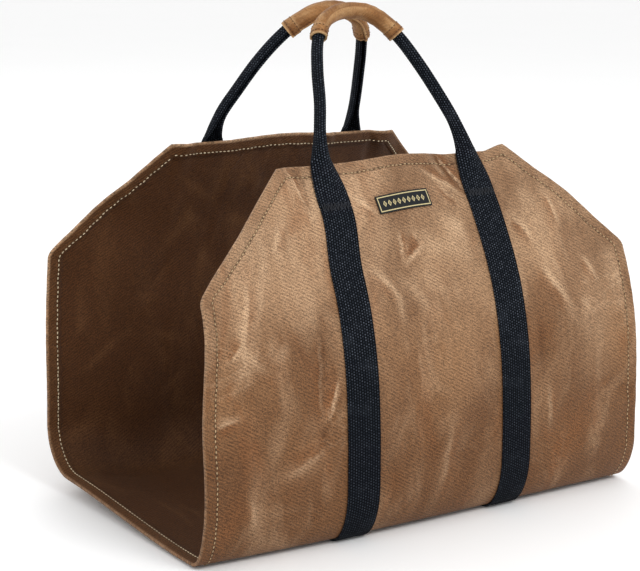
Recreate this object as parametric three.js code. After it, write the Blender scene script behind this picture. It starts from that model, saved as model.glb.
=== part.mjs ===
// A canvas log carrier: one sheet of waxed canvas with turned hems and cut corners hangs in a U,
// two flat webbing straps run round under it, and two webbing handles rise from them into canvas grips.
// +X runs along the logs, the labelled front panel faces -Y, +Z is up, and the floor is z = 0.
import * as THREE from "three";

// Driving dimensions, in millimetres.
const sheetWidth = 457;
const topEdgeLength = 244;
const panelHeight = 308;
const carrierDepth = 286;
const shoulderDrop = 100; // along the panel, from the top edge to where a cut corner ends
const shoulderRound = 10; // length of edge over which the shoulder corner is rounded
const frontCornerRun = 24; // the lower corners of the U, across the floor
const backCornerRun = 40;
const cornerRise = 46; // and up the panels
const canvasThickness = 1.4;
const hemWidth = 13;
const hemStep = 1.2;
const leftFrontTuck = 13; // how far each panel's lower end pulls in
const rightFrontTuck = 0;
const leftBackTuck = 2.5;
const rightBackTuck = 5;
const endLift = 13; // how far the sheet's ends rise off the floor towards the back
const shoulderFlare = 16; // how far the front panel's left shoulder stands out instead
const edgeBow = 3; // rise of the top edges between the straps
const cornerPeak = 5; // rise of the front panel's top right corner

const webbingWidth = 32;
const webbingThickness = 1.8;
const rolledWidth = 25; // the webbing draws in where it is rolled
const strapSpacing = 164;
const tackSpacing = 155; // the straps draw together towards their bar tacks
const tackDepth = 40; // from the top edge down to the bar tack where a handle begins
const rollAngle = THREE.MathUtils.degToRad(158); // how far each half of the webbing curls round in a handle
const rollFlatness = 0.6; // 0 rolls it round, towards 1 presses it flat
const rollLength = 74; // length of webbing over which it curls

const handleRise = 121; // from the top edges to the middle of the webbing at the crown
const crownSplit = 25; // between the two handles at the crown
const crownShift = 14; // how far the crowns lie behind the middle
const gripLength = 104;
const gripWall = 1.2;
const gripFlange = 2.5; // the sewn flange along the inner side of a grip
const frontGripShift = 0.01; // of each grip's middle along its handle from the crown, as a share of its length
const backGripShift = 0.05;

const labelWidth = 56;
const labelHeight = 15.5;
const labelThickness = 0.8;
const labelOffset = -7.5;
const labelDrop = 42; // from the top edge to the label's middle
const labelTurn = THREE.MathUtils.degToRad(2.6);

const sewGap = 0.4; // between pieces that are sewn together
const slideGap = 0.7; // between a grip and the webbing inside it

const halfSheet = sheetWidth / 2;
const halfTop = topEdgeLength / 2;
const halfDepth = carrierDepth / 2;
const strapX = strapSpacing / 2;
const tackX = tackSpacing / 2;
const canvasBase = webbingThickness + sewGap;
const bandMiddle = sewGap + webbingThickness / 2;

// Shape of each panel above its lower corner: height as a share of the panel's, reach as a share of half the depth.
const frontPanel = [
  { height: 1, reach: 0.448 },
  { height: 0.927, reach: 0.56 },
  { height: 0.853, reach: 0.66 },
  { height: 0.757, reach: 0.748 },
  { height: 0.624, reach: 0.868 },
  { height: 0.464, reach: 0.953 },
  { height: 0.3, reach: 0.99 },
];
const backPanel = [
  { height: 1, reach: 0.7 },
  { height: 0.927, reach: 0.768 },
  { height: 0.853, reach: 0.836 },
  { height: 0.757, reach: 0.91 },
  { height: 0.624, reach: 0.963 },
  { height: 0.464, reach: 0.985 },
  { height: 0.3, reach: 0.996 },
];

// Creases that the handles pull into the top edges: x and width as shares of the strap spacing,
// depth and length as shares of the bar tack's depth.
const topCreases = [
  { x: -0.66, width: 0.075, depth: 0.11, length: 1.2 },
  { x: 0.285, width: 0.075, depth: 0.11, length: 1.2 },
];

// Each handle seen square on, from its left foot over the crown to its right one: x as a share of half the
// spread at the top edge, rise as a share of the way from the top edge to the crown.
const frontLoop = [
  { x: -0.93, rise: 0.16 },
  { x: -0.8, rise: 0.38 },
  { x: -0.7, rise: 0.6 },
  { x: -0.58, rise: 0.79 },
  { x: -0.43, rise: 0.92 },
  { x: -0.22, rise: 0.985 },
  { x: 0, rise: 1 },
  { x: 0.22, rise: 0.98 },
  { x: 0.41, rise: 0.905 },
  { x: 0.56, rise: 0.79 },
  { x: 0.71, rise: 0.61 },
  { x: 0.84, rise: 0.41 },
  { x: 0.95, rise: 0.2 },
];
const backLoop = [
  { x: -1, rise: 0.2 },
  { x: -0.9, rise: 0.4 },
  { x: -0.78, rise: 0.6 },
  { x: -0.63, rise: 0.77 },
  { x: -0.48, rise: 0.88 },
  { x: -0.27, rise: 0.97 },
  { x: -0.05, rise: 1 },
  { x: 0.18, rise: 0.98 },
  { x: 0.38, rise: 0.92 },
  { x: 0.52, rise: 0.82 },
  { x: 0.63, rise: 0.68 },
  { x: 0.76, rise: 0.47 },
  { x: 0.89, rise: 0.24 },
];

const smooth = (low, high, value) => THREE.MathUtils.smoothstep(value, low, high);

// The U that the sheet hangs in, in the YZ plane, from the front top edge round to the back one.
function hangingProfile() {
  const panelPoint = (side) => (row) =>
    new THREE.Vector2(
      side * row.reach * halfDepth,
      canvasBase + row.height * (panelHeight - canvasBase),
    );
  const cornerTop = (side) => new THREE.Vector2(side * halfDepth, canvasBase + cornerRise);
  const front = [...frontPanel.map(panelPoint(-1)), cornerTop(-1)];
  const back = [...backPanel.map(panelPoint(1)), cornerTop(1)].reverse();
  const corner = (side, run, from, to) =>
    new THREE.EllipseCurve(
      side * (halfDepth - run), canvasBase + cornerRise, run, cornerRise, from, to, false,
    );
  const path = new THREE.CurvePath();
  path.add(new THREE.SplineCurve(front));
  path.add(corner(-1, frontCornerRun, Math.PI, Math.PI * 1.5));
  path.add(
    new THREE.LineCurve(
      new THREE.Vector2(frontCornerRun - halfDepth, canvasBase),
      new THREE.Vector2(halfDepth - backCornerRun, canvasBase),
    ),
  );
  path.add(corner(1, backCornerRun, Math.PI * 1.5, Math.PI * 2));
  path.add(new THREE.SplineCurve(back));
  return path;
}

const profile = hangingProfile();
const segmentEnds = profile.getCurveLengths();
const sheetLength = segmentEnds.at(-1);

// Half the sheet's width at a distance along it: the cut corners, with a rounded shoulder.
function halfWidthAt(along) {
  const fromEdge = Math.min(along, sheetLength - along);
  const slope = (halfSheet - halfTop) / shoulderDrop;
  const overshoot = halfSheet - (halfTop + slope * fromEdge);
  const ease = (slope * shoulderRound) / 2;
  if (overshoot >= ease) return halfSheet - overshoot;
  if (overshoot <= -ease) return halfSheet;
  return halfSheet - (overshoot + ease) ** 2 / (4 * ease);
}

// How far across the hem reaches from the sheet's side edge, measured along X.
function hemRun(along) {
  const fromEdge = Math.min(along, sheetLength - along);
  const slope = (halfSheet - halfTop) / shoulderDrop;
  return hemWidth * Math.hypot(1, slope * (1 - smooth(0.85, 1.15, fromEdge / shoulderDrop)));
}

// A point of the canvas's outer face, and the direction out of it.
function facePoint(x, along) {
  const flat = profile.getPoint(THREE.MathUtils.clamp(along / sheetLength, 0, 1));
  const height = (flat.y - canvasBase) / (panelHeight - canvasBase);
  const outward = Math.sign(flat.x);
  const fromEdge = Math.min(along, sheetLength - along);
  const across = Math.abs(x) / halfSheet;
  const leftTuck = flat.x < 0 ? leftFrontTuck : leftBackTuck;
  const rightTuck = flat.x < 0 ? rightFrontTuck : rightBackTuck;
  const up = Math.max(0, height);
  const low = 1 - 0.6 * up ** 2;
  let reach = -(x < 0 ? leftTuck : rightTuck) * across ** 2 * (flat.x / halfDepth) ** 2 * low;
  if (flat.x < 0 && x < 0) reach += shoulderFlare * across ** 3 * smooth(0.35, 0.7, up);
  for (const crease of topCreases) {
    const aside = Math.abs(x - crease.x * strapSpacing) / (crease.width * strapSpacing);
    const down = fromEdge / (crease.length * tackDepth);
    if (aside < 1 && down < 1)
      reach -= crease.depth * tackDepth * 0.5 * (1 + Math.cos(Math.PI * aside)) * (1 - down) ** 2;
  }
  const between = Math.max(0, 1 - Math.abs(x) / (tackX - webbingWidth / 2));
  const bow = edgeBow * smooth(0, 1, between) * (1 - smooth(0, 0.3, 1 - height));
  const nearEnd = smooth(0.62, 1, across);
  const towardsBack = smooth(-0.75, 0.9, flat.x / halfDepth);
  const lift = endLift * nearEnd * towardsBack * (1 - smooth(0.1, 0.4, height));
  const beyondStrap = flat.x < 0 ? smooth(strapX + webbingWidth / 2, halfTop, x) : 0;
  const peak = cornerPeak * beyondStrap * smooth(0.55, 1, height);
  return new THREE.Vector3(x, flat.x + outward * reach, flat.y + bow + peak + lift);
}

function faceNormal(x, along) {
  const step = 0.5;
  const alongStep = facePoint(x, along + step).sub(facePoint(x, along - step));
  const acrossStep = facePoint(x + step, along).sub(facePoint(x - step, along));
  return alongStep.cross(acrossStep).normalize();
}

const offFace = (x, along, height) =>
  facePoint(x, along).addScaledVector(faceNormal(x, along), height);

// A closed slab between two grids of points: surface(i, j, +1) is its outer face, surface(i, j, -1) its inner one.
function slab(rowCount, columnCount, surface) {
  const positions = [];
  const index = [];
  const at = (i, j, side) => (i * columnCount + j) * 2 + (side > 0 ? 0 : 1);
  for (let i = 0; i < rowCount; i += 1)
    for (let j = 0; j < columnCount; j += 1)
      positions.push(...surface(i, j, 1).toArray(), ...surface(i, j, -1).toArray());
  const quad = (a, b, c, d) => index.push(a, b, c, a, c, d);
  for (let i = 0; i + 1 < rowCount; i += 1)
    for (let j = 0; j + 1 < columnCount; j += 1) {
      quad(at(i, j, 1), at(i + 1, j, 1), at(i + 1, j + 1, 1), at(i, j + 1, 1));
      quad(at(i, j, -1), at(i, j + 1, -1), at(i + 1, j + 1, -1), at(i + 1, j, -1));
    }
  for (let i = 0; i + 1 < rowCount; i += 1) {
    const last = columnCount - 1;
    quad(at(i, 0, 1), at(i, 0, -1), at(i + 1, 0, -1), at(i + 1, 0, 1));
    quad(at(i, last, 1), at(i + 1, last, 1), at(i + 1, last, -1), at(i, last, -1));
  }
  for (let j = 0; j + 1 < columnCount; j += 1) {
    const last = rowCount - 1;
    quad(at(0, j, 1), at(0, j + 1, 1), at(0, j + 1, -1), at(0, j, -1));
    quad(at(last, j, 1), at(last, j, -1), at(last, j + 1, -1), at(last, j + 1, 1));
  }
  return closedGeometry(positions, index);
}

// A closed tube wall between an outer and an inner ring of points, swept through rows.
function tubeWall(rowCount, ringCount, ring) {
  const positions = [];
  const index = [];
  const at = (i, k, side) => (i * ringCount + (k % ringCount)) * 2 + (side > 0 ? 0 : 1);
  for (let i = 0; i < rowCount; i += 1)
    for (let k = 0; k < ringCount; k += 1)
      positions.push(...ring(i, k, 1).toArray(), ...ring(i, k, -1).toArray());
  const quad = (a, b, c, d) => index.push(a, b, c, a, c, d);
  for (let k = 0; k < ringCount; k += 1) {
    for (let i = 0; i + 1 < rowCount; i += 1) {
      quad(at(i, k, 1), at(i + 1, k, 1), at(i + 1, k + 1, 1), at(i, k + 1, 1));
      quad(at(i, k, -1), at(i, k + 1, -1), at(i + 1, k + 1, -1), at(i + 1, k, -1));
    }
    const last = rowCount - 1;
    quad(at(0, k, 1), at(0, k + 1, 1), at(0, k + 1, -1), at(0, k, -1));
    quad(at(last, k, 1), at(last, k, -1), at(last, k + 1, -1), at(last, k + 1, 1));
  }
  return closedGeometry(positions, index);
}

function closedGeometry(positions, index) {
  const geometry = new THREE.BufferGeometry();
  geometry.setAttribute("position", new THREE.Float32BufferAttribute(positions, 3));
  geometry.setIndex(index);
  if (signedVolume(positions, index) < 0) {
    const turned = [];
    for (let i = 0; i < index.length; i += 3) turned.push(index[i], index[i + 2], index[i + 1]);
    geometry.setIndex(turned);
  }
  geometry.computeVertexNormals();
  return geometry;
}

function signedVolume(positions, index) {
  const corner = (i) => new THREE.Vector3().fromArray(positions, index[i] * 3);
  let volume = 0;
  for (let i = 0; i < index.length; i += 3)
    volume += corner(i).dot(corner(i + 1).cross(corner(i + 2)));
  return volume / 6;
}

const spread = (from, to, count) =>
  Array.from({ length: count }, (_, i) => from + ((to - from) * (i + 1)) / count);

// Rows of one panel by their distance from its top edge, down to where its lower corner begins.
function panelRows(cornerStart) {
  const hemEnd = hemWidth + hemStep;
  const roundStart = shoulderDrop - shoulderRound / 2;
  const roundEnd = shoulderDrop + shoulderRound / 2;
  return [
    0,
    hemWidth / 2,
    hemWidth,
    hemEnd,
    (hemEnd + tackDepth) / 2,
    tackDepth,
    ...spread(tackDepth, roundStart, 3),
    ...spread(roundStart, roundEnd, 3),
    ...spread(roundEnd, cornerStart, 5),
  ];
}

// Rows of the whole sheet from the front top edge to the back one.
function sheetRows() {
  const [frontEnd, frontCorner, floorEnd, backCorner] = segmentEnds;
  const back = panelRows(sheetLength - backCorner).slice(0, -1).reverse();
  return [
    ...panelRows(frontEnd),
    ...spread(frontEnd, frontCorner, 6),
    ...spread(frontCorner, floorEnd, 6),
    ...spread(floorEnd, backCorner, 6),
    ...back.map((row) => sheetLength - row),
  ];
}
const rows = sheetRows();

// Distance of a strap's middle line from the carrier's middle.
const strapLine = (along) =>
  THREE.MathUtils.lerp(
    tackX, strapX, smooth(tackDepth, shoulderDrop, Math.min(along, sheetLength - along)),
  );

// Columns of the sheet right of its middle, between the side hems: on the strap's edges and its middle line,
// and shares of the way up to its inner edge and from its outer edge to the hem.
const insideShares = [0, 0.3, 0.55, 0.77];
const outsideShares = [0, 0.26, 0.52, 0.78, 1];
function columnsWithin(inner, along) {
  const line = strapLine(along);
  const half = webbingWidth / 2;
  const squeeze = Math.min(1, (0.97 * inner) / (line + half));
  const innerEdge = squeeze * (line - half);
  const outerEdge = squeeze * (line + half);
  const right = [
    ...insideShares.map((share) => share * innerEdge),
    innerEdge,
    squeeze * line,
    ...outsideShares.map((share) => THREE.MathUtils.lerp(outerEdge, inner, share)),
  ];
  return [...right.slice(1).reverse().map((x) => -x), ...right];
}

function canvasBody() {
  const grid = rows.map((along) => {
    const edge = halfWidthAt(along);
    const run = hemRun(along);
    const within = columnsWithin(edge - run - hemStep, along);
    return [-edge, run - edge, ...within, edge - run, edge];
  });
  const columnCount = grid[0].length;
  const columnX = (i, j) => grid[i][j];
  const hemmed = (i, j) =>
    j < 2 || j > columnCount - 3 || rows[i] <= hemWidth || sheetLength - rows[i] <= hemWidth;
  return slab(rows.length, columnCount, (i, j, side) => {
    const thickness = canvasThickness * (hemmed(i, j) ? 2 : 1);
    return offFace(columnX(i, j), rows[i], side > 0 ? 0 : -thickness);
  });
}

function strap(sign) {
  const strapRows = rows.filter((row) => Math.min(row, sheetLength - row) > tackDepth - sewGap);
  const across = [-0.5, 0, 0.5];
  return slab(strapRows.length, across.length, (i, j, side) => {
    const x = sign * strapLine(strapRows[i]) + across[j] * webbingWidth;
    return offFace(x, strapRows[i], bandMiddle + (side * webbingThickness) / 2);
  });
}

// Cross-section of the curling webbing at a distance across it from its middle line: sideways and back
// from that line, and the way it faces. roll is 0 for flat webbing and 1 for rolled.
function rolledSection(across, roll) {
  const half = webbingWidth / 2;
  const drawnIn = THREE.MathUtils.lerp(1, rolledWidth / webbingWidth, roll);
  const heading = (distance) => {
    const share = distance / half;
    const pressed = (rollFlatness * Math.sin(2 * Math.PI * share)) / (2 * Math.PI);
    return rollAngle * roll * (share + pressed);
  };
  const steps = 12;
  const step = Math.abs(across) / steps;
  let sideways = 0;
  let back = 0;
  for (let i = 0; i < steps; i += 1) {
    const angle = heading((i + 0.5) * step);
    sideways += Math.cos(angle) * step * drawnIn;
    back += Math.sin(angle) * step * drawnIn;
  }
  const sign = Math.sign(across);
  return { sideways: sign * sideways, back, facing: sign * heading(Math.abs(across)) };
}

// How far the webbing's edges stand behind its middle line.
const rollDepth = (roll) =>
  Math.max(...[0.5, 0.75, 1].map((share) => rolledSection((share * webbingWidth) / 2, roll).back));

// The rows of one handle, from its left tack over the crown to its right one. Each row has its ridge point,
// its sideways and outward directions, and how far the webbing is folded there.
function handleRows(side) {
  const onSheet = (fromEdge) => (side < 0 ? fromEdge : sheetLength - fromEdge);
  const rollAt = (fromTack) => smooth(0, rollLength, fromTack);
  const panelRow = (fromEdge, sign) => {
    const fromTack = tackDepth - fromEdge;
    const x = sign * tackX;
    const roll = rollAt(fromTack);
    const outward = faceNormal(x, onSheet(fromEdge));
    const ridge = offFace(x, onSheet(fromEdge), bandMiddle + rollDepth(roll));
    const edge = facePoint(x + (sign * webbingWidth) / 2, onSheet(fromEdge));
    const flatWay = edge.sub(facePoint(x - (sign * webbingWidth) / 2, onSheet(fromEdge))).normalize();
    return { ridge, outward, roll, flatWay };
  };
  const foot = panelRow(0, 1);
  const crown = new THREE.Vector3(
    0, crownShift + (side * crownSplit) / 2, panelHeight + handleRise,
  );
  const rise = crown.clone().sub(foot.ridge).setX(0);
  const loopOutward = new THREE.Vector3(0, side * rise.z, -side * rise.y).normalize();
  rise.addScaledVector(loopOutward, rollDepth(1) / 2);
  const loop = side < 0 ? frontLoop : backLoop;
  const loopPoints = loop.map((row) =>
    foot.ridge.clone().addScaledVector(rise, row.rise).setX(row.x * tackX),
  );
  const lead = [tackDepth - sewGap, 0.75 * tackDepth, 0.5 * tackDepth, 0.25 * tackDepth, 0];
  const leadRows = (sign) => lead.map((fromEdge) => panelRow(fromEdge, sign));
  const left = leadRows(-1);
  const right = leadRows(1).reverse();
  const curve = new THREE.CatmullRomCurve3(
    [...left.map((row) => row.ridge), ...loopPoints, ...right.map((row) => row.ridge)],
    false,
    "centripetal",
  );
  const spans = curve.points.length - 1;
  const firstT = (lead.length - 1) / spans;
  const steps = 44;
  const free = Array.from({ length: steps - 1 }, (_, n) => {
    const t = THREE.MathUtils.lerp(firstT, 1 - firstT, (n + 1) / steps);
    return { ridge: curve.getPoint(t), tangent: curve.getTangent(t) };
  });
  const lengths = [];
  let travelled = tackDepth;
  let last = curve.getPoint(firstT);
  for (const row of free) {
    travelled += row.ridge.distanceTo(last);
    lengths.push(travelled);
    last = row.ridge;
  }
  const total = travelled + last.distanceTo(foot.ridge) + tackDepth;
  const turned = (row, share) => {
    const square = row.outward.clone().addScaledVector(row.tangent, -row.outward.dot(row.tangent));
    const outward = row.outward.clone().lerp(square.normalize(), share).normalize();
    const crossed = new THREE.Vector3().crossVectors(row.tangent, outward).multiplyScalar(side);
    const flatWay = row.flatWay ?? crossed;
    const sideways = flatWay.clone().lerp(crossed.normalize(), share).normalize();
    return { ...row, outward, sideways };
  };
  const loopRows = free.map((row, n) => {
    const fromTack = Math.min(lengths[n], total - lengths[n]);
    const onLoop = smooth(tackDepth, rollLength, fromTack);
    const outward = foot.outward.clone().lerp(loopOutward, onLoop);
    return { ...turned({ ...row, outward }, 1), roll: rollAt(fromTack), free: true };
  });
  const footRows = (list, sign) =>
    list.map((row, i) => {
      const t = sign < 0 ? i / spans : 1 - (list.length - 1 - i) / spans;
      const share = 1 - (sign < 0 ? lead[i] : lead[list.length - 1 - i]) / tackDepth;
      return turned({ ...row, tangent: curve.getTangent(t) }, smooth(0.05, 1, share));
    });
  return [...footRows(left, -1), ...loopRows, ...footRows(right, 1)];
}

const bandPoint = (row, across, height) => {
  const section = rolledSection(across, row.roll);
  return row.ridge
    .clone()
    .addScaledVector(row.sideways, section.sideways + height * Math.sin(section.facing))
    .addScaledVector(row.outward, -section.back + height * Math.cos(section.facing));
};

function handle(side) {
  const shares = [-1, -0.62, -0.3, -0.12, 0, 0.12, 0.3, 0.62, 1];
  const band = handleRows(side);
  return slab(band.length, shares.length, (i, j, face) =>
    bandPoint(band[i], (shares[j] * webbingWidth) / 2, (face * webbingThickness) / 2),
  );
}

// A grip's cross-section round the rolled webbing, with a thin sewn flange beyond the webbing's edges.
function gripSection(k, ringCount, side) {
  const sides = [0.25, 0.5, 0.75].map((share) => rolledSection((share * webbingWidth) / 2, 1));
  const hollowHalf = Math.max(...sides.map((point) => point.sideways)) + webbingThickness / 2 + slideGap;
  const hollowDepth = rollDepth(1) + webbingThickness / 2 + slideGap;
  const wall = side > 0 ? gripWall : 0;
  const half = ringCount / 2;
  const sign = k <= half ? 1 : -1;
  const step = k <= half ? k : ringCount - k;
  const front = -webbingThickness / 2 - slideGap;
  const outline = [
    [0, front - wall],
    [0.72 * hollowHalf + wall * 0.6, front + 0.14 * hollowDepth - wall * 0.8],
    [hollowHalf + wall, 0.4 * hollowDepth + front],
    [hollowHalf + wall, 0.72 * hollowDepth],
    side > 0 ? [0.62 * hollowHalf + wall * 0.6, hollowDepth + wall * 0.7] : [0.75 * hollowHalf, hollowDepth],
    side > 0 ? [gripWall, hollowDepth + wall] : [0.4 * hollowHalf, hollowDepth],
    side > 0 ? [gripWall, hollowDepth + wall + gripFlange] : [0, hollowDepth],
  ];
  const [sideways, back] = outline[step];
  return { sideways: sign * sideways, back };
}

function grip(side) {
  const band = handleRows(side).filter((row) => row.free);
  const reach = [0];
  for (let i = 1; i < band.length; i += 1)
    reach.push(reach.at(-1) + band[i].ridge.distanceTo(band[i - 1].ridge));
  const crest = band.reduce((best, row, i) => (row.ridge.z > band[best].ridge.z ? i : best), 0);
  const middle = reach[crest] + (side < 0 ? frontGripShift : backGripShift) * gripLength;
  const rowAt = (distance) => {
    const i = reach.findIndex((value) => value > distance);
    const t = (distance - reach[i - 1]) / (reach[i] - reach[i - 1]);
    const mix = (key) => band[i - 1][key].clone().lerp(band[i][key], t);
    return {
      ridge: mix("ridge"),
      outward: mix("outward").normalize(),
      sideways: mix("sideways").normalize(),
    };
  };
  const from = middle - gripLength / 2;
  const to = middle + gripLength / 2;
  const covered = [
    rowAt(from),
    ...band.filter((row, i) => reach[i] > from + 1 && reach[i] < to - 1),
    rowAt(to),
  ];
  const ringCount = 12;
  return tubeWall(covered.length, ringCount, (i, k, face) => {
    const section = gripSection(k, ringCount, face);
    return covered[i].ridge
      .clone()
      .addScaledVector(covered[i].sideways, section.sideways)
      .addScaledVector(covered[i].outward, -section.back);
  });
}

function label() {
  const columns = 8;
  const labelRows = 4;
  return slab(labelRows, columns, (i, j, side) => {
    const u = (j / (columns - 1) - 0.5) * labelWidth;
    const v = (i / (labelRows - 1) - 0.5) * labelHeight;
    const x = labelOffset + u * Math.cos(labelTurn) + v * Math.sin(labelTurn);
    const along = labelDrop + v * Math.cos(labelTurn) - u * Math.sin(labelTurn);
    return offFace(x, along, sewGap * 2 + labelThickness * (side > 0 ? 1 : 0));
  });
}

const waxedCanvas = new THREE.MeshStandardMaterial({ color: 0x8f6640, roughness: 0.72, metalness: 0 });
const blackWebbing = new THREE.MeshStandardMaterial({ color: 0x15181d, roughness: 0.85, metalness: 0 });
const wovenLabel = new THREE.MeshStandardMaterial({ color: 0x0e0f11, roughness: 0.7, metalness: 0 });

function piece(name, geometry, material) {
  const mesh = new THREE.Mesh(geometry, material.clone());
  mesh.name = name;
  return mesh;
}

const logCarrier = new THREE.Group();
logCarrier.add(
  piece("canvas_body", canvasBody(), waxedCanvas),
  piece("left_strap", strap(-1), blackWebbing),
  piece("right_strap", strap(1), blackWebbing),
  piece("front_handle", handle(-1), blackWebbing),
  piece("back_handle", handle(1), blackWebbing),
  piece("front_grip", grip(-1), waxedCanvas),
  piece("back_grip", grip(1), waxedCanvas),
  piece("label", label(), wovenLabel),
);

export default logCarrier;
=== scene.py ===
import math
import random

import bmesh
import bpy
import numpy as np
from mathutils import Matrix, Vector


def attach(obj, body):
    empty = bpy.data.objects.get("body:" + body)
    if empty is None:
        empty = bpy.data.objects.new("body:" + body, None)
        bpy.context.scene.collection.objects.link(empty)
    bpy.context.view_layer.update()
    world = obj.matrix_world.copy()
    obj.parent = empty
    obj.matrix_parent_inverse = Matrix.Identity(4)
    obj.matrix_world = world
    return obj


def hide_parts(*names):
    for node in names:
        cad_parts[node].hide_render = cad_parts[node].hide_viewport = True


bl_info = {
    "name": "Canvas log carrier",
    "version": (1, 0, 0),
    "blender": (4, 5, 0),
    "location": "3D View > Sidebar > Log carrier",
    "description": "Dresses the log carrier's frame in waxed canvas, webbing and stitching",
    "category": "Object",
}

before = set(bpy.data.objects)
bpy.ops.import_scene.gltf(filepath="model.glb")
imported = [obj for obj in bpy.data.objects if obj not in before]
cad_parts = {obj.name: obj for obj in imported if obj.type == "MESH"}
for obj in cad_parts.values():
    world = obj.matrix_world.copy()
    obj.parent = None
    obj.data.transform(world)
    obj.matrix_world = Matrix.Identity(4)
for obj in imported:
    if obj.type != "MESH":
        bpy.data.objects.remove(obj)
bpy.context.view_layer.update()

# Shape of each panel above its lower corner: height as a share of the panel's, reach as a share of half
# the depth.
FRONT_PANEL = (
    (1, 0.448), (0.927, 0.56), (0.853, 0.66), (0.757, 0.748), (0.624, 0.868), (0.464, 0.953),
    (0.3, 0.99),
)
BACK_PANEL = (
    (1, 0.7), (0.927, 0.768), (0.853, 0.836), (0.757, 0.91), (0.624, 0.963), (0.464, 0.985),
    (0.3, 0.996),
)
FRONT_CORNER_RUN = 0.024
BACK_CORNER_RUN = 0.040
CORNER_RISE = 0.046
LEFT_FRONT_TUCK = 0.013
RIGHT_FRONT_TUCK = 0.0
LEFT_BACK_TUCK = 0.0025
RIGHT_BACK_TUCK = 0.005
END_LIFT = 0.013
SHOULDER_FLARE = 0.016
EDGE_BOW = 0.003
CORNER_PEAK = 0.005
HEM_STEP = 0.0012
SEW_GAP = 0.0004
SLIDE_GAP = 0.0007

# Creases that the handles pull into the top edges: x and width as shares of the strap spacing,
# depth and length as shares of the bar tack's depth.
TOP_CREASES = (
    {"x": -0.66, "width": 0.075, "depth": 0.11, "length": 1.2},
    {"x": 0.285, "width": 0.075, "depth": 0.11, "length": 1.2},
)

# Soft folds of the front panel: x, along, length, width, turn, rise, pale. x and along are the middle, along
# counts from the top edge, turn goes from x towards along, rise lifts the cloth, pale lightens it, and a
# negative pale darkens it with painted shade in the hollow of a sunken fold. Millimetres and degrees.
MARKS = (
    (-144, 62, 26, 4, 116, 0.9, 0.5),
    (-18, 83, 22, 2.6, 96, 0.8, 0.6),
    (-10, 88, 19, 2.4, -32, 0.6, 0.6),
    (-45, 110, 34, 5, 50, 1.0, 0.45),
    (-192, 124, 44, 5, 106, 1.2, 0.4),
    (-157, 153, 12, 6, 64, 0.5, 0.4),
    (-48, 40, 30, 3.6, 38, 0.8, 0.5),
    (39, 28, 40, 4, 31, 1.0, 0.5),
    (34, 40, 28, 5, 42, 0.8, 0.4),
    (152, 65, 26, 3.4, 69, 1.0, 0.55),
    (116, 78, 26, 3.6, 56, 1.0, 0.5),
    (179, 119, 20, 4, 60, 0.8, 0.5),
    (131, 121, 30, 5, 51, 1.2, 0.35),
    (34, 76, 26, 9, 60, 0.9, 0.35),
    (-15, 121, 36, 6, 42, 1.0, 0.3),
    (-112, 198, 32, 2.8, 114, 1.6, 0.7),
    (-207, 202, 20, 4, -14, 0.8, 0.6),
    (-187, 282, 18, 3, 82, 0.8, 0.5),
    (-146, 249, 50, 9, -28, 1.6, 0.4),
    (-120, 227, 20, 5, 66, -1.2, -0.5),
    (121, 238, 40, 4, 86, 1.2, 0.35),
    (4, 259, 68, 6, -83, 1.0, 0.3),
    (-36, 130, 26, 4, 74, 0.7, 0.4),
    (-195, 145, 38, 5, 78, 1.0, 0.35),
    (-184, 156, 30, 4, 38, 0.8, 0.35),
    (-186, 266, 50, 6, 88, 1.2, 0.35),
    (207, 229, 36, 6, 8, -0.9, -0.5),
    (-103, 19, 46, 6, 78, -1.4, -0.9),
    (-113, 13, 26, 4.5, 66, 1.2, 0.35),
    (56, 19, 46, 6.5, 62, -1.2, -0.9),
    (43, 17, 40, 5, 52, 1.1, 0.35),
    (-111, 90, 76, 10, 98, 0.9, 0.12),
    (-118, 166, 84, 3.6, 94, -1.1, -0.45),
    (-186, 106, 46, 6, 101, 1.1, 0.1),
    (-201, 145, 28, 4, 121, 0.9, 0.1),
    (144, 143, 48, 6, 54, 1.1, 0.35),
    (114, 181, 54, 4.5, 88, -0.9, -0.35),
    # Broad pale patch: painted light falling on the right of the front panel.
    (178, 172, 120, 26, 74, 0.8, 0.3),
    (16, 80, 84, 9, 15, 0.5, 0.22),
    (41, 69, 46, 7, 41, 0.7, 0.3),
    (-126, 289, 26, 6, 86, -0.8, -0.45),
    (-60, 205, 90, 16, 84, 1.2, 0.12),
    (28, 190, 110, 22, 96, 1.3, 0.12),
)

# Cracked lines in the wax, sharper than the mesh: x, along, length, width, turn, side, pale. side is 1 or -1
# for the side along which a strip of painted shade lies.
CRACKS = (
    (-22, 80, 34, 2.2, 92, -1, 0.75),
    (-9, 87, 36, 2.4, -30, -1, 0.8),
    (-2, 76, 20, 2.6, 70, 1, 0.6),
    (-109, 18, 50, 1.5, 76, -1, 0.95),
    (55, 18, 54, 1.7, 66, -1, 0.95),
    (-45, 110, 40, 2.2, 50, 1, 0.5),
    (-48, 40, 36, 2.0, 38, 1, 0.5),
    (38, 27, 50, 2.2, 31, -1, 0.6),
    (41, 37, 36, 2.4, 42, 1, 0.5),
    (152, 63, 34, 1.9, 72, 1, 0.7),
    (115, 78, 36, 2.0, 54, 1, 0.65),
    (182, 120, 30, 2.2, 63, 1, 0.6),
    (138, 132, 60, 2.8, 53, 1, 0.5),
    (-111, 197, 42, 1.7, 111, 1, 0.85),
    (-120, 178, 96, 2.4, 94, 1, 0.3),
    (-188, 112, 60, 2.6, 102, -1, 0.55),
    (-201, 145, 28, 2.2, 120, 1, 0.6),
    (-145, 60, 30, 2.4, 108, -1, 0.65),
    (-136, 244, 56, 3.0, 152, 1, 0.45),
    (-208, 203, 26, 2.0, -13, 1, 0.6),
    (-185, 280, 34, 2.2, 84, 1, 0.45),
    (121, 236, 46, 2.6, 86, -1, 0.4),
    (4, 259, 70, 3.2, -82, 1, 0.3),
)

# Soft folds of the back panel's right corner, which has slumped inwards; along counts from its top edge. The
# second one's negative pale is painted shade in the pocket below the slump.
SLUMPED_CORNER = (
    (115, 7, 34, 9, 38, -2.6, 0.1),
    (103, 24, 36, 5, 62, 1.6, -0.7),
)

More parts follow.
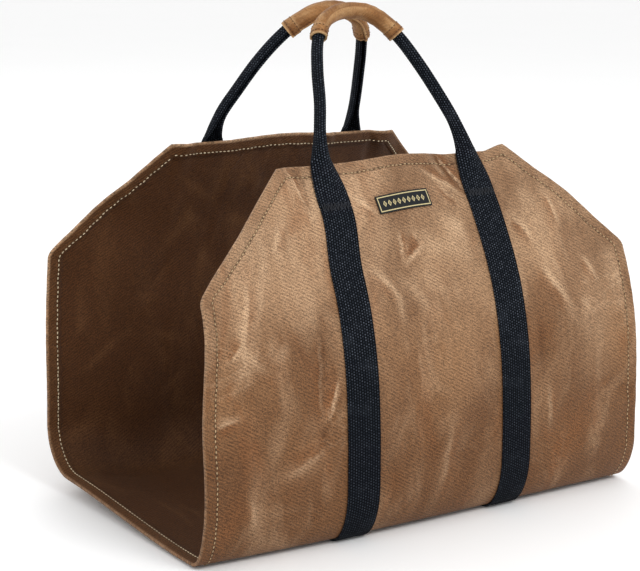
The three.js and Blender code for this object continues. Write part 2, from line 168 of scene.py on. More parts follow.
# Each handle seen square on, from its left foot over the crown to its right one: x as a share of half the
# spread at the top edge, rise as a share of the way from the top edge to the crown.
FRONT_LOOP = (
    (-0.93, 0.16), (-0.8, 0.38), (-0.7, 0.6), (-0.58, 0.79), (-0.43, 0.92), (-0.22, 0.985), (0, 1),
    (0.22, 0.98), (0.41, 0.905), (0.56, 0.79), (0.71, 0.61), (0.84, 0.41), (0.95, 0.2),
)
BACK_LOOP = (
    (-1, 0.2), (-0.9, 0.4), (-0.78, 0.6), (-0.63, 0.77), (-0.48, 0.88), (-0.27, 0.97), (-0.05, 1),
    (0.18, 0.98), (0.38, 0.92), (0.52, 0.82), (0.63, 0.68), (0.76, 0.47), (0.89, 0.24),
)
ROLLED_WIDTH = 0.025
ROLL_ANGLE = math.radians(158)
ROLL_FLATNESS = 0.6
ROLL_LENGTH = 0.074
CROWN_SHIFT = 0.014
GRIP_FLANGE = 0.0025
FRONT_GRIP_SHIFT = 0.01
BACK_GRIP_SHIFT = 0.05

LABEL_OFFSET = -0.0075
LABEL_DROP = 0.042
LABEL_TURN = math.radians(2.6)

WEB_PITCH = 0.0024
WEB_NUBS = 13
WEB_COLUMNS = 2 * WEB_NUBS + 1
WEB_RELIEF = 0.00032
WEAVE_PITCH = 0.0012
RIB_PITCH = 0.0027
SEAM_INSET = 0.0103

# Points of the meshes.
SHEET_COLUMNS = 128
SHEET_ROWS = 252
HEM_STEPS = 5
GRIP_RING = 72
GRIP_ROWS = 110
LABEL_COLUMNS = 71
LABEL_ROWS = 21
TACK_STITCHES = 17

# The camera of the photograph: degrees of yaw, pitch and roll.
CAMERA_PLACE = (-0.93685, -1.26875, 0.52803)
CAMERA_TURN = (-35.591, 12.291, 1.061)
CAMERA_LENS = 101.42


def length(label, about, default):
    return bpy.props.FloatProperty(
        name=label, description=about, default=default, min=0.0, unit="LENGTH", subtype="DISTANCE",
        precision=4,
    )


def colour(label, about, default):
    return bpy.props.FloatVectorProperty(
        name=label, description=about, default=default, size=3, min=0.0, max=1.0, subtype="COLOR",
    )


class CarrierSizes(bpy.types.PropertyGroup):
    """Sizes of the carrier's pieces."""

    sheet_width: length("Sheet width", "Canvas across, between its side folds", 0.457)
    top_edge: length("Top edge", "Width of the canvas where the cut corners leave it", 0.244)
    panel_height: length("Panel height", "Floor to the top edges", 0.308)
    depth: length("Depth", "Front to back of the hanging canvas", 0.286)
    shoulder_drop: length("Shoulder drop", "Length of panel that each cut corner takes", 0.100)
    shoulder_round: length("Shoulder round", "Length of edge over which a shoulder is rounded", 0.010)
    canvas: length("Canvas", "Thickness of one layer of canvas", 0.0014)
    hem: length("Hem", "Width of the hem turned to the inside", 0.013)
    webbing_width: length("Webbing width", "Width of the flat webbing", 0.032)
    webbing: length("Webbing", "Thickness of the webbing", 0.0018)
    strap_spacing: length("Strap spacing", "Between the straps' middle lines", 0.164)
    tack_spacing: length("Tack spacing", "Between the two bar tacks of a panel", 0.155)
    tack_depth: length("Tack depth", "Top edge to the bar tack where a handle begins", 0.040)
    handle_rise: length("Handle rise", "Top edges to the webbing at the crown", 0.121)
    crown_split: length("Crown split", "Between the two handles at the crown", 0.025)
    grip_length: length("Grip length", "Canvas grip along its handle", 0.104)
    grip_wall: length("Grip wall", "Thickness of a grip's canvas", 0.0012)
    label_width: length("Label width", "Woven label across", 0.056)
    label_height: length("Label height", "Woven label up and down", 0.0155)
    label: length("Label", "Thickness of the woven label", 0.0008)
    stitch: length("Stitch", "Length of one stitch of the hems", 0.0042)
    thread: length("Thread", "Width of the sewing thread", 0.0012)


class CarrierColours(bpy.types.PropertyGroup):
    """Colours of the carrier's cloths and threads."""

    # canvas_deep and canvas_pale also paint the darker bottom and paler top of the panels, partly shade and
    # light.
    canvas_deep: colour("Canvas, deep", "Well waxed canvas", (0.105, 0.043, 0.0145))
    canvas_mid: colour("Canvas, middle", "Handled canvas", (0.214, 0.108, 0.048))
    canvas_pale: colour("Canvas, pale", "Canvas where the wax is cracked and rubbed", (0.435, 0.284, 0.170))
    # canvas_rust also paints the shade beside the cracks.
    canvas_rust: colour("Canvas, rust", "Canvas where the wax has gathered", (0.185, 0.068, 0.021))
    # The inside colours are painted shade: the inner face of the canvas darkened as if unlit.
    shaded_inside_deep: colour("Inside, deep", "Inside of the canvas", (0.062, 0.0225, 0.0062))
    shaded_inside_pale: colour("Inside, pale", "Inside of the canvas where it is rubbed", (0.125, 0.055, 0.020))
    grip_deep: colour("Grip, deep", "Grips where hands have darkened them", (0.125, 0.046, 0.012))
    grip_mid: colour("Grip, middle", "Canvas of the grips", (0.262, 0.116, 0.036))
    grip_pale: colour("Grip, pale", "Folded and raw edges of the grips", (0.46, 0.295, 0.145))
    webbing: colour("Webbing", "Threads of the webbing", (0.0034, 0.0047, 0.0072))
    # Painted highlight on the tops of the webbing's raised threads.
    glint: colour("Webbing glint", "Tops of the webbing's raised threads", (0.150, 0.170, 0.210))
    tack: colour("Tack thread", "Thread of the bar tacks", (0.010, 0.012, 0.017))
    grip_thread: colour("Grip thread", "Sewing thread of the grips", (0.070, 0.026, 0.008))
    thread: colour("Thread", "Sewing thread outside the hems", (0.46, 0.32, 0.175))
    bobbin: colour("Bobbin thread", "Sewing thread inside the hems", (0.66, 0.54, 0.36))
    label: colour("Label", "Ground of the woven label", (0.008, 0.009, 0.010))
    label_line: colour("Label line", "Border and ornament of the label", (0.56, 0.47, 0.25))
    floor: colour("Floor", "Plain floor of the stage", (0.90, 0.90, 0.90))


def smooth(low, high, value):
    """0 up to low, 1 from high on, and an even S between them."""
    t = np.clip((value - low) / (high - low), 0.0, 1.0)
    return t * t * (3 - 2 * t)


def unit(vectors):
    return vectors / np.maximum(np.linalg.norm(vectors, axis=-1, keepdims=True), 1e-12)


def lerp(first, second, share):
    return first + (second - first) * share


def table_rows(table, sixth):
    """The rows of a table of folds or cracks by name, in metres and radians."""
    keys = ("x", "along", "length", "width", "turn", sixth, "pale")
    scale = {"turn": math.radians(1), "side": 1, "pale": 1}
    return [{key: value * scale.get(key, 0.001) for key, value in zip(keys, row)} for row in table]


def travel(line):
    """Distance along a line of points, at each of them."""
    return np.concatenate([[0], np.cumsum(np.linalg.norm(np.diff(line, axis=0), axis=1))])


def on_line(at, reach, values):
    """Vectors between the points of a line, at given distances along it."""
    return np.stack([np.interp(at, reach, values[:, k]) for k in range(values.shape[1])], axis=1)


def spline(points, count=500):
    """Evenly weighted curve through a panel's points."""
    points = np.array(points, float)
    last = len(points) - 1
    t = np.linspace(0, last, count)
    i = np.minimum(t.astype(int), last - 1)
    w = (t - i)[:, None]
    a, b, c, d = (points[np.clip(i + k, 0, last)] for k in (-1, 0, 1, 2))
    return hermite(b, c, (c - a) / 2, (d - b) / 2, w)


def hermite(start, end, first, second, w):
    """Between two points with the slopes first and second, at share w."""
    cubic = 2 * start - 2 * end + first + second
    square = -3 * start + 3 * end - 2 * first - second
    return start + first * w + square * w**2 + cubic * w**3


class HangingSheet:
    """The canvas as it hangs: its U-shaped profile, its outline, and points on and off its outer face."""

    def __init__(self, sizes):
        self.sizes = sizes
        self.half_sheet = sizes.sheet_width / 2
        self.half_top = sizes.top_edge / 2
        self.half_depth = sizes.depth / 2
        self.strap_x = sizes.strap_spacing / 2
        self.tack_x = sizes.tack_spacing / 2
        self.base = sizes.webbing + SEW_GAP
        self.band_middle = SEW_GAP + sizes.webbing / 2
        self.slope = (self.half_sheet - self.half_top) / sizes.shoulder_drop
        self.profile, self.travelled = self.hanging_profile()
        self.length = self.travelled[-1]

    def hanging_profile(self):
        rise = self.sizes.panel_height - self.base

        def panel(rows, side):
            points = [(side * reach * self.half_depth, self.base + height * rise) for height, reach in rows]
            return spline([*points, (side * self.half_depth, self.base + CORNER_RISE)])

        def corner(side, run, start):
            angle = np.linspace(start, start + math.pi / 2, 300)
            middle = side * (self.half_depth - run)
            up = self.base + CORNER_RISE + CORNER_RISE * np.sin(angle)
            return np.stack([middle + run * np.cos(angle), up], axis=1)

        pieces = [
            panel(FRONT_PANEL, -1),
            corner(-1, FRONT_CORNER_RUN, math.pi),
            np.array([
                [FRONT_CORNER_RUN - self.half_depth, self.base],
                [self.half_depth - BACK_CORNER_RUN, self.base],
            ]),
            corner(1, BACK_CORNER_RUN, math.pi * 1.5),
            panel(BACK_PANEL, 1)[::-1],
        ]
        line = np.concatenate(pieces)
        return line, travel(line)

    def from_edge(self, along):
        return np.minimum(along, self.length - along)

    def half_width(self, along):
        overshoot = self.half_sheet - (self.half_top + self.slope * self.from_edge(along))
        ease = self.slope * self.sizes.shoulder_round / 2
        rounded = (np.clip(overshoot, -ease, ease) + ease) ** 2 / (4 * ease)
        return self.half_sheet - np.where(overshoot >= ease, overshoot, rounded)

    def slant(self, along):
        """How much longer a width measured along X is than one measured square to the side edge."""
        straight = smooth(0.85, 1.15, self.from_edge(along) / self.sizes.shoulder_drop)
        return np.hypot(1, self.slope * (1 - straight))

    def edge_distance(self, x, along):
        aside = (self.half_width(along) - np.abs(x)) / self.slant(along)
        return np.minimum(aside, self.from_edge(along))

    def strap_line(self, along):
        s = self.sizes
        return lerp(self.tack_x, self.strap_x, smooth(s.tack_depth, s.shoulder_drop, self.from_edge(along)))

    def face(self, x, along):
        """Points of the outer face."""
        s = self.sizes
        x, along = np.broadcast_arrays(np.asarray(x, float), np.asarray(along, float))
        run = np.clip(along, 0, self.length)
        y = np.interp(run, self.travelled, self.profile[:, 0])
        z = np.interp(run, self.travelled, self.profile[:, 1])
        height = (z - self.base) / (s.panel_height - self.base)
        front = y < 0
        across = np.abs(x) / self.half_sheet
        left_tuck = np.where(front, LEFT_FRONT_TUCK, LEFT_BACK_TUCK)
        right_tuck = np.where(front, RIGHT_FRONT_TUCK, RIGHT_BACK_TUCK)
        up = np.maximum(0, height)
        low = 1 - 0.6 * up**2
        reach = -np.where(x < 0, left_tuck, right_tuck) * across**2 * (y / self.half_depth) ** 2 * low
        reach = reach + np.where(front & (x < 0), SHOULDER_FLARE * across**3 * smooth(0.35, 0.7, up), 0)
        for crease in TOP_CREASES:
            aside = np.abs(x - crease["x"] * s.strap_spacing) / (crease["width"] * s.strap_spacing)
            down = self.from_edge(along) / (crease["length"] * s.tack_depth)
            fold = crease["depth"] * s.tack_depth * 0.5 * (1 + np.cos(np.pi * aside)) * (1 - down) ** 2
            reach = reach - np.where((aside < 1) & (down < 1), fold, 0)
        between = np.maximum(0, 1 - np.abs(x) / (self.tack_x - s.webbing_width / 2))
        bow = EDGE_BOW * smooth(0, 1, between) * (1 - smooth(0, 0.3, 1 - height))
        towards_back = smooth(-0.75, 0.9, y / self.half_depth)
        lift = END_LIFT * smooth(0.62, 1, across) * towards_back * (1 - smooth(0.1, 0.4, height))
        beyond = np.where(front, smooth(self.strap_x + s.webbing_width / 2, self.half_top, x), 0)
        peak = CORNER_PEAK * beyond * smooth(0.55, 1, height)
        return np.stack([x, y + np.sign(y) * reach, z + bow + peak + lift], axis=-1)

    def normal(self, x, along):
        step = 0.0015
        down = self.face(x, along + step) - self.face(x, along - step)
        across = self.face(x + step, along) - self.face(x - step, along)
        return unit(np.cross(down, across))

    def off(self, x, along, height):
        return self.face(x, along) + self.normal(x, along) * np.asarray(height)[..., None]

    def clear_of_bands(self, x, along):
        """1 on open cloth, and 0 under the straps, under the label and where the carrier rests."""
        s = self.sizes
        crack_shadow = np.abs(np.abs(x) - self.strap_line(along)) - s.webbing_width / 2
        open_cloth = smooth(0.001, 0.010, crack_shadow)
        label_x = np.maximum(0, np.abs(x - LABEL_OFFSET) - s.label_width / 2)
        label_along = np.maximum(0, np.abs(along - LABEL_DROP) - s.label_height / 2)
        open_cloth = open_cloth * smooth(0.003, 0.012, np.hypot(label_x, label_along))
        height = np.interp(along, self.travelled, self.profile[:, 1])
        return open_cloth * smooth(0.006, 0.045, height)

    def marks(self, x, along):
        """How far the soft folds lift the cloth, and how much paler they make it; a negative pale is painted
        shade.
        """
        rise = np.zeros_like(x)
        pale = np.zeros_like(x)
        for row in [*table_rows(MARKS, "rise"), *self.unseen_marks()]:
            along_it, across_it = math.cos(row["turn"]), math.sin(row["turn"])
            dx, down = x - row["x"], along - row["along"]
            lengthwise = (dx * along_it + down * across_it) / (0.5 * row["length"])
            sideways = (down * along_it - dx * across_it) / row["width"]
            rise += 1.6 * row["rise"] * np.exp(-(lengthwise**2) - (sideways / 1.8) ** 2)
            bent = sideways - 0.35 * np.sin(lengthwise * 2.3)
            pale += 1.25 * row["pale"] * np.exp(-(lengthwise**2) * 1.1 - bent**2 * 1.2)
        return rise, pale

    def unseen_marks(self):
        """The same kind of folds for the back panel and the ends of the base."""
        chance = random.Random(11)
        found = []
        for row in table_rows(SLUMPED_CORNER, "rise"):
            found.append({**row, "along": self.length - row["along"], "turn": -row["turn"]})
        for _ in range(26):
            found.append({
                "x": chance.uniform(-0.2, 0.2),
                "along": self.length - chance.uniform(0.03, 0.3),
                "length": chance.uniform(0.02, 0.06),
                "width": chance.uniform(0.003, 0.007),
                "turn": math.radians(chance.uniform(20, 160)),
                "rise": chance.uniform(-0.0008, 0.0012),
                "pale": chance.uniform(0.15, 0.5),
            })
        return found

    def relief(self, x, along):
        """Soft folds and puckers of the cloth itself, along its normal, and its paler creases and painted
        shade in sunken folds.
        """
        rise, pale = self.marks(x, along)
        wave = 0.0011 * np.sin(along * 41 + 1.7 * np.sin(x * 17 + 0.6))
        wave = wave * np.sin(x * 29 + 1.3 * np.sin(along * 13 + 2.1))
        wave = wave + 0.0006 * np.sin(x * 61 + along * 37 + 2.2 * np.sin(along * 23))
        edge = self.edge_distance(x, along)
        run = along + np.where(self.from_edge(along) < 0.02, x, 0.2 * x)
        pucker = 0.00045 * np.sin(run * math.tau / 0.017 + 2.4 * np.sin(run * 31))
        pucker = pucker * np.exp(-(((edge - 0.010) / 0.009) ** 2))
        seam = -0.00022 * np.exp(-(((edge - SEAM_INSET) / 0.0018) ** 2))
        away = self.clear_of_bands(x, along)
        return (rise + wave + pucker) * away + seam * (away > 0.02), pale


def grid_shell(columns, rows):
    """A thin closed box of columns x rows points a side, and each vertex's column, row and side."""
    mesh = bmesh.new()
    bmesh.ops.create_grid(mesh, x_segments=columns - 1, y_segments=rows - 1, size=0.5)
    made = bmesh.ops.extrude_face_region(mesh, geom=mesh.faces[:], use_keep_orig=True)
    inner = {v for v in made["geom"] if isinstance(v, bmesh.types.BMVert)}
    at = np.array([v.co[:2] for v in mesh.verts]) + 0.5
    place = np.rint(at * (columns - 1, rows - 1)).astype(int)
    side = np.array([0 if v in inner else 1 for v in mesh.verts])
    if len(side) != 2 * columns * rows:
        raise RuntimeError("the grid has the wrong number of points")
    return mesh, place[:, 0], place[:, 1], side


def tube_shell(columns, rows):
    """The same, closed round its columns: a tube's wall."""
    mesh, column, row, side = grid_shell(columns + 1, rows)
    angle = math.tau * column / columns
    radius = 1 + 0.1 * side
    place_vertices(mesh, np.stack([radius * np.cos(angle), radius * np.sin(angle), row * 0.1], axis=1))
    walls = [f for f in mesh.faces if all(abs(v.co.y) < 1e-6 and v.co.x > 0 for v in f.verts)]
    bmesh.ops.delete(mesh, geom=walls, context="FACES_ONLY")
    bmesh.ops.remove_doubles(mesh, verts=mesh.verts[:], dist=1e-5)
    spots = np.array([v.co[:] for v in mesh.verts])
    column = np.rint(np.arctan2(spots[:, 1], spots[:, 0]) / math.tau * columns).astype(int) % columns
    side = (np.hypot(spots[:, 0], spots[:, 1]) > 1.05).astype(int)
    return mesh, column, np.rint(spots[:, 2] / 0.1).astype(int), side


def set_layer(mesh, name, values):
    """A value or vector for every vertex, for the materials to read."""
    values = np.asarray(values, float)
    layers = mesh.verts.layers.float_vector if values.ndim == 2 else mesh.verts.layers.float
    layer = layers.new(name)
    for v, value in zip(mesh.verts, values.tolist()):
        v[layer] = value


def place_vertices(mesh, points):
    for v, point in zip(mesh.verts, points.tolist()):
        v.co = point


def round_rim(mesh, width):
    """Rounds the edges where the thin wall of a shell turns over."""
    mesh.normal_update()
    sharp = [e for e in mesh.edges if len(e.link_faces) == 2 and e.calc_face_angle(0) > math.radians(50)]
    bmesh.ops.bevel(
        mesh, geom=sharp, offset=width, offset_type="OFFSET", segments=2, profile=0.5,
        affect="EDGES", material=-1, clamp_overlap=True,
    )


def finish_piece(name, mesh, material, replaces=()):
    """Makes the mesh an object that rides with the part."""
    bmesh.ops.recalc_face_normals(mesh, faces=mesh.faces[:])
    data = bpy.data.meshes.new(name)
    mesh.to_mesh(data)
    mesh.free()
    data.shade_smooth()
    data.materials.append(material)
    piece = bpy.data.objects.new(name, data)
    bpy.context.scene.collection.objects.link(piece)
    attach(piece, "root")
    if replaces:
        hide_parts(*replaces)
    return piece


# Bands and handles

def rolled_section(across, roll, width):
    """Curling webbing at distances across it: sideways and back from its middle, and the way it faces."""
    half = width / 2
    drawn_in = lerp(1, ROLLED_WIDTH / width, roll)
    steps = 16
    step = np.abs(across) / steps

    def heading(distance):
        share = distance / half
        pressed = ROLL_FLATNESS * np.sin(math.tau * share) / math.tau
        return ROLL_ANGLE * roll * (share + pressed)

    sideways = np.zeros(np.broadcast(across, roll).shape)
    back = np.zeros_like(sideways)
    for i in range(steps):
        angle = heading((i + 0.5) * step)
        sideways = sideways + np.cos(angle) * step * drawn_in
        back = back + np.sin(angle) * step * drawn_in
    sign = np.sign(across)
    return sign * sideways, back, sign * heading(np.abs(across))


def roll_depth(roll, width):
    """How far the webbing's edges stand behind its middle line."""
    roll = np.asarray(roll, float)
    depths = [rolled_section(share * width / 2 + 0 * roll, roll, width)[1] for share in (0.5, 0.75, 1)]
    return np.max(depths, axis=0)


def through(points, t):
    """Centripetal curve through points, at shares t of its spans."""
    points = np.array(points, float)
    points = np.array([2 * points[0] - points[1], *points, 2 * points[-1] - points[-2]])
    spans = len(points) - 3
    at = np.clip(t, 0, 1) * spans
    i = np.minimum(at.astype(int), spans - 1)
    w = (at - i)[:, None]
    p = [points[i + k] for k in range(4)]
    d = [np.maximum(np.sum((p[k + 1] - p[k]) ** 2, axis=1), 1e-12)[:, None] ** 0.25 for k in range(3)]
    first = (p[1] - p[0]) / d[0] - (p[2] - p[0]) / (d[0] + d[1]) + (p[2] - p[1]) / d[1]
    second = (p[2] - p[1]) / d[1] - (p[3] - p[1]) / (d[1] + d[2]) + (p[3] - p[2]) / d[2]
    return hermite(p[1], p[2], first * d[1], second * d[1], w)


class HandleLine:
    """The ridge of one handle from tack to tack, with its directions and how far the webbing is rolled."""

    def __init__(self, sheet, side, spacing):
        s = sheet.sizes
        self.width = s.webbing_width
        depth = s.tack_depth

        def on_sheet(from_edge):
            return from_edge if side < 0 else sheet.length - from_edge

        def foot_rows(from_edge, sign):
            x = np.full_like(from_edge, sign * sheet.tack_x)
            roll = smooth(0, ROLL_LENGTH, depth - from_edge)
            along = on_sheet(from_edge)
            outward = sheet.normal(x, along)
            ridge = sheet.off(x, along, sheet.band_middle + roll_depth(roll, self.width))
            half = sign * self.width / 2
            flat_way = unit(sheet.face(x + half, along) - sheet.face(x - half, along))
            return ridge, outward, flat_way

        foot, foot_outward, _ = (part[0] for part in foot_rows(np.zeros(1), 1))
        crown = np.array([0, CROWN_SHIFT + side * s.crown_split / 2, s.panel_height + s.handle_rise])
        rise = (crown - foot) * (0, 1, 1)
        loop_outward = unit(np.array([0, side * rise[2], -side * rise[1]]))
        rise = rise + loop_outward * roll_depth(1.0, self.width) / 2
        loop = [
            np.array([x * sheet.tack_x, foot[1] + rise[1] * up, foot[2] + rise[2] * up])
            for x, up in (FRONT_LOOP if side < 0 else BACK_LOOP)
        ]
        lead = np.array([depth - SEW_GAP, 0.75 * depth, 0.5 * depth, 0.25 * depth, 0])
        points = [*foot_rows(lead, -1)[0], *loop, *foot_rows(lead[::-1], 1)[0]]
        first = (len(lead) - 1) / (len(points) - 1)
        dense = through(points, np.linspace(first, 1 - first, 4000))
        reach = travel(dense)
        free = on_line(np.linspace(0, reach[-1], int(reach[-1] / spacing) + 1)[1:-1], reach, dense)
        down = np.linspace(lead[0], 0, int(depth / spacing) + 1)
        left, left_out, left_way = foot_rows(down, -1)
        right, right_out, right_way = foot_rows(down[::-1], 1)
        self.ridge = np.concatenate([left, free, right])
        travelled = travel(self.ridge)
        from_tack = np.minimum(travelled, travelled[-1] - travelled)
        from_tack[: len(down)] = depth - down
        from_tack[-len(down):] = (depth - down)[::-1]
        self.roll = smooth(0, ROLL_LENGTH, from_tack)
        tangent = unit(np.gradient(self.ridge, axis=0))
        on_loop = smooth(depth, ROLL_LENGTH, from_tack)[:, None]
        outward = lerp(foot_outward, loop_outward, on_loop)
        outward[: len(down)] = left_out
        outward[-len(down):] = right_out
        share = np.ones(len(self.ridge))
        share[: len(down)] = smooth(0.05, 1, 1 - down / depth)
        share[-len(down):] = share[: len(down)][::-1]
        share = share[:, None]
        square = unit(outward - tangent * np.sum(outward * tangent, axis=1, keepdims=True))
        self.outward = unit(lerp(outward, square, share))
        crossed = unit(np.cross(tangent, self.outward) * side)
        flat_way = crossed.copy()
        flat_way[: len(down)] = left_way
        flat_way[-len(down):] = right_way
        self.sideways = unit(lerp(flat_way, crossed, share))
        self.travelled = travelled

    def point(self, row, sideways, back):
        """Points that lie sideways and back from the ridge at the given rows."""
        return self.ridge[row] + self.sideways[row] * sideways[:, None] - self.outward[row] * back[:, None]

    def at(self, distance):
        """Ridge, sideways and outward at distances along the handle."""
        values = (self.ridge, self.sideways, self.outward)
        ridge, sideways, outward = (on_line(distance, self.travelled, value) for value in values)
        return ridge, unit(sideways), unit(outward)


def nub_height(column, along):
    """Height of the webbing's raised threads: columns of them, each half a step on from the last."""
    nub = (column - 1) // 2
    raised = np.abs(np.sin(np.pi * (along / WEB_PITCH + 0.5 * nub)))
    return np.where(column % 2 == 1, 0.25 + 0.75 * raised**0.8, 0.0)


def band_across(column, along, width):
    """Distance across the webbing of each column, with a scalloped selvedge."""
    across = (column / (WEB_COLUMNS - 1) - 0.5) * width
    outermost = (column == 0) | (column == WEB_COLUMNS - 1)
    bite = 0.0003 * (1 - np.abs(np.sin(np.pi * along / WEB_PITCH)))
    return np.where(outermost, across - np.sign(across) * bite, across)


# Materials

def arithmetic(operation, swapped=False):
    """A method that adds one math node."""
    def apply(self, other=0.0):
        return self.graph.math(operation, *((other, self) if swapped else (self, other)))

    return apply


class Value:
    """One output of a node, with the usual arithmetic."""

    def __init__(self, graph, socket):
        self.graph = graph
        self.socket = socket

    __add__ = arithmetic("ADD")
    __sub__ = arithmetic("SUBTRACT")
    __rsub__ = arithmetic("SUBTRACT", swapped=True)
    __mul__ = arithmetic("MULTIPLY")
    __rmul__ = arithmetic("MULTIPLY", swapped=True)
    __truediv__ = arithmetic("DIVIDE")
    __rtruediv__ = arithmetic("DIVIDE", swapped=True)
    __pow__ = arithmetic("POWER")
    __abs__ = arithmetic("ABSOLUTE")
    sine = arithmetic("SINE")
    floor = arithmetic("FLOOR")
    fraction = arithmetic("FRACT")
    at_least = arithmetic("MAXIMUM")
    at_most = arithmetic("MINIMUM")


class Graph:
    """Short ways to add nodes to one node tree."""

    def __init__(self, tree):
        self.tree = tree

    def send(self, value, socket):
        """Links a value to a socket, or sets the socket to a constant."""
        if isinstance(value, Value):
            self.tree.links.new(value.socket, socket)
        else:
            socket.default_value = value

    def add(self, kind, inputs, output=0, **settings):
        """A new node with its inputs filled: one of its outputs."""
        node = self.tree.nodes.new(kind)
        for key, value in settings.items():
            setattr(node, key, value)
        for key, value in inputs.items():
            self.send(value, node.inputs[key])
        return Value(self, node.outputs[output])

    def group(self, draw, outputs, flat, **inputs):
        """A node of the group that draw makes on its first use: its outputs."""
        name = draw.__name__.replace("_", " ").capitalize()
        node = self.tree.nodes.new("ShaderNodeGroup")
        node.node_tree = bpy.data.node_groups.get(name) or node_group(name, draw, inputs, outputs)
        for value, socket in zip((flat, *inputs.values()), node.inputs):
            self.send(value, socket)
        return [Value(self, socket) for socket in node.outputs]

    def math(self, operation, first, second=0.0):
        return self.add("ShaderNodeMath", {0: first, 1: second}, operation=operation)

    def mix(self, factor, first, second):
        return self.add("ShaderNodeMix", {0: factor, 6: first, 7: second}, 2, data_type="RGBA")

    def step(self, value, low, high, start=0.0, end=1.0):
        inputs = {0: value, 1: low, 2: high, 3: start, 4: end}
        return self.add("ShaderNodeMapRange", inputs, interpolation_type="SMOOTHSTEP")

    def noise(self, vector, scale, detail=2.0, roughness=0.5, distortion=0.0):
        inputs = {"Vector": vector, "Scale": scale, "Detail": detail, "Roughness": roughness}
        return self.add("ShaderNodeTexNoise", {**inputs, "Distortion": distortion})

    def attribute(self, name, output="Fac"):
        return self.add("ShaderNodeAttribute", {}, output, attribute_name=name)

    def object_place(self):
        return self.add("ShaderNodeTexCoord", {}, "Object")

    def stretched(self, vector, scale):
        return self.add("ShaderNodeMapping", {"Vector": vector, "Scale": scale})

    def scaled(self, vector, size):
        return self.add("ShaderNodeVectorMath", {0: vector, "Scale": size}, operation="SCALE")

    def axes(self, vector):
        """The first two axes of a vector."""
        node = self.add("ShaderNodeSeparateXYZ", {0: vector}).socket.node
        return [Value(self, socket) for socket in node.outputs[:2]]

    def bump(self, height, distance, strength=1.0, **under):
        inputs = {"Height": height, "Distance": distance, "Strength": strength, **under}
        return self.add("ShaderNodeBump", inputs)


def node_group(name, draw, inputs, outputs):
    """A new node group: draw takes its graph and its inputs, and returns its outputs."""
    group = bpy.data.node_groups.new(name, "ShaderNodeTree")
    group.interface.new_socket("Flat", in_out="INPUT", socket_type="NodeSocketVector")
    for label in inputs:
        group.interface.new_socket(label.capitalize(), in_out="INPUT", socket_type="NodeSocketFloat")
    for label in outputs:
        group.interface.new_socket(label, in_out="OUTPUT", socket_type="NodeSocketFloat")
    graph = Graph(group)
    given = group.nodes.new("NodeGroupInput").outputs[: 1 + len(inputs)]
    results = draw(graph, *[Value(graph, socket) for socket in given])
    for value, socket in zip(results, group.nodes.new("NodeGroupOutput").inputs):
        graph.send(value, socket)
    return group


def canvas_weave(g, flat, pitch, rib_pitch):
    """A heavy canvas with a slanting rib: thread height, and how light each thread is."""
    wobble = g.noise(flat, 34, 2)
    x, along = g.axes(flat)
    turns = math.tau / pitch
    shift = wobble * 7.0
    plain = (x * turns + shift).sine() * (along * turns + shift).sine()
    run = x * 0.87 + along * 0.5
    slant = along * 0.87 - x * 0.5
    rib = (slant * (math.tau / rib_pitch) + wobble * 4.0).sine()
    lain = g.add("ShaderNodeCombineXYZ", {0: run * 0.30, 1: slant, 2: 0.0})
    dash = g.noise(lain, 700, 2, 0.6) - 0.5
    grain = g.noise(flat, 900, 3, 0.75) - 0.5
    height = rib * 0.09 + plain * 0.26 + 0.5 + (dash + grain) * 0.9
    strength = g.step(g.noise(flat, 14, 2), 0.32, 0.62, 0.45, 1.0)
    thin_rib = (rib * 0.5 + 0.5) ** 2.2 * 0.26
    return height, thin_rib * strength + plain * 0.06 + 0.42 + dash * 0.9 + grain * 2.4


def wax_wear(g, flat, folds, size):
    """Where the wax has rubbed pale, where it lies deep or a fold is painted in shade, and where it has
    gathered rusty.
    """
    flat = g.scaled(flat, size)
    hung = g.stretched(flat, (1.0, 0.42, 1.0))
    broad = g.noise(flat, 8.5, 3, 0.55)
    cloud = g.noise(hung, 26, 5, 0.6, 0.6)
    crazed = g.noise(flat, 15, 5, 0.55, 1.8)
    line = (1.0 - abs(crazed - 0.5) * 26.0).at_least(0.0) * g.step(g.noise(flat, 11, 2), 0.50, 0.68)
    patch = g.step(cloud, 0.44, 0.70) * 0.70
    pale = folds.at_least(0.0) + line * 0.26 + patch * g.step(broad, 0.35, 0.65, 0.35, 1.0)
    # Deep wax at random, and painted shade where the folds are negative.
    deep = g.step(broad, 0.60, 0.38) * 0.62 + (folds * -1.0).at_least(0.0)
    gathered = g.step(g.noise(hung, 21, 4, 0.6, 0.8), 0.50, 0.68) * 0.85
    return pale.at_most(1.0), deep.at_most(1.0), gathered


def wax_crack(g, flat, x, along, cosine, sine, length, width):
    """One cracked line in the wax, and a strip of painted shade along one side of it."""
    aside, down = g.axes(flat)
    aside, down = aside - x, down - along
    far = (aside * cosine + down * sine) / length
    bend = (g.noise(flat, 60, 2) - 0.5) * 0.009
    off = (down * cosine - aside * sine + bend) / width
    ends = g.step(abs(far), 1.0, 0.25)
    broken = g.step(g.noise(flat, 190, 3), 0.34, 0.60, 0.25, 0.85)
    line = g.step(abs(off), 1.6, 0.0) * ends * broken
    # Painted shade in a strip along one side of the line.
    return line, g.step(off, 0.2, 1.3) * g.step(off, 6.0, 1.4) * ends


def webbing_nubs(g, flat, column, pitch):
    """Staggered raised threads of a heavy webbing: their height, and the painted highlights on their tops.
    """
    x, along = g.axes(flat)
    across = x / column
    from_middle = abs(across.fraction() - 0.5)
    from_nub = abs((along / pitch + across.floor() * 0.5).fraction() - 0.5)
    height = 1.0 - (from_middle**2.0 + from_nub**2.0) * 3.6
    fibre = g.noise(g.stretched(flat, (1.0, 0.35, 1.0)), 2600, 2)
    # Painted highlights on the tops of the raised threads.
    glint = g.step(height, 0.62, 0.98) * g.step(fibre, 0.40, 0.62)
    return height + fibre * 0.35, glint * g.step(g.noise(flat, 300, 1), 0.36, 0.60, 0.12, 1.0)


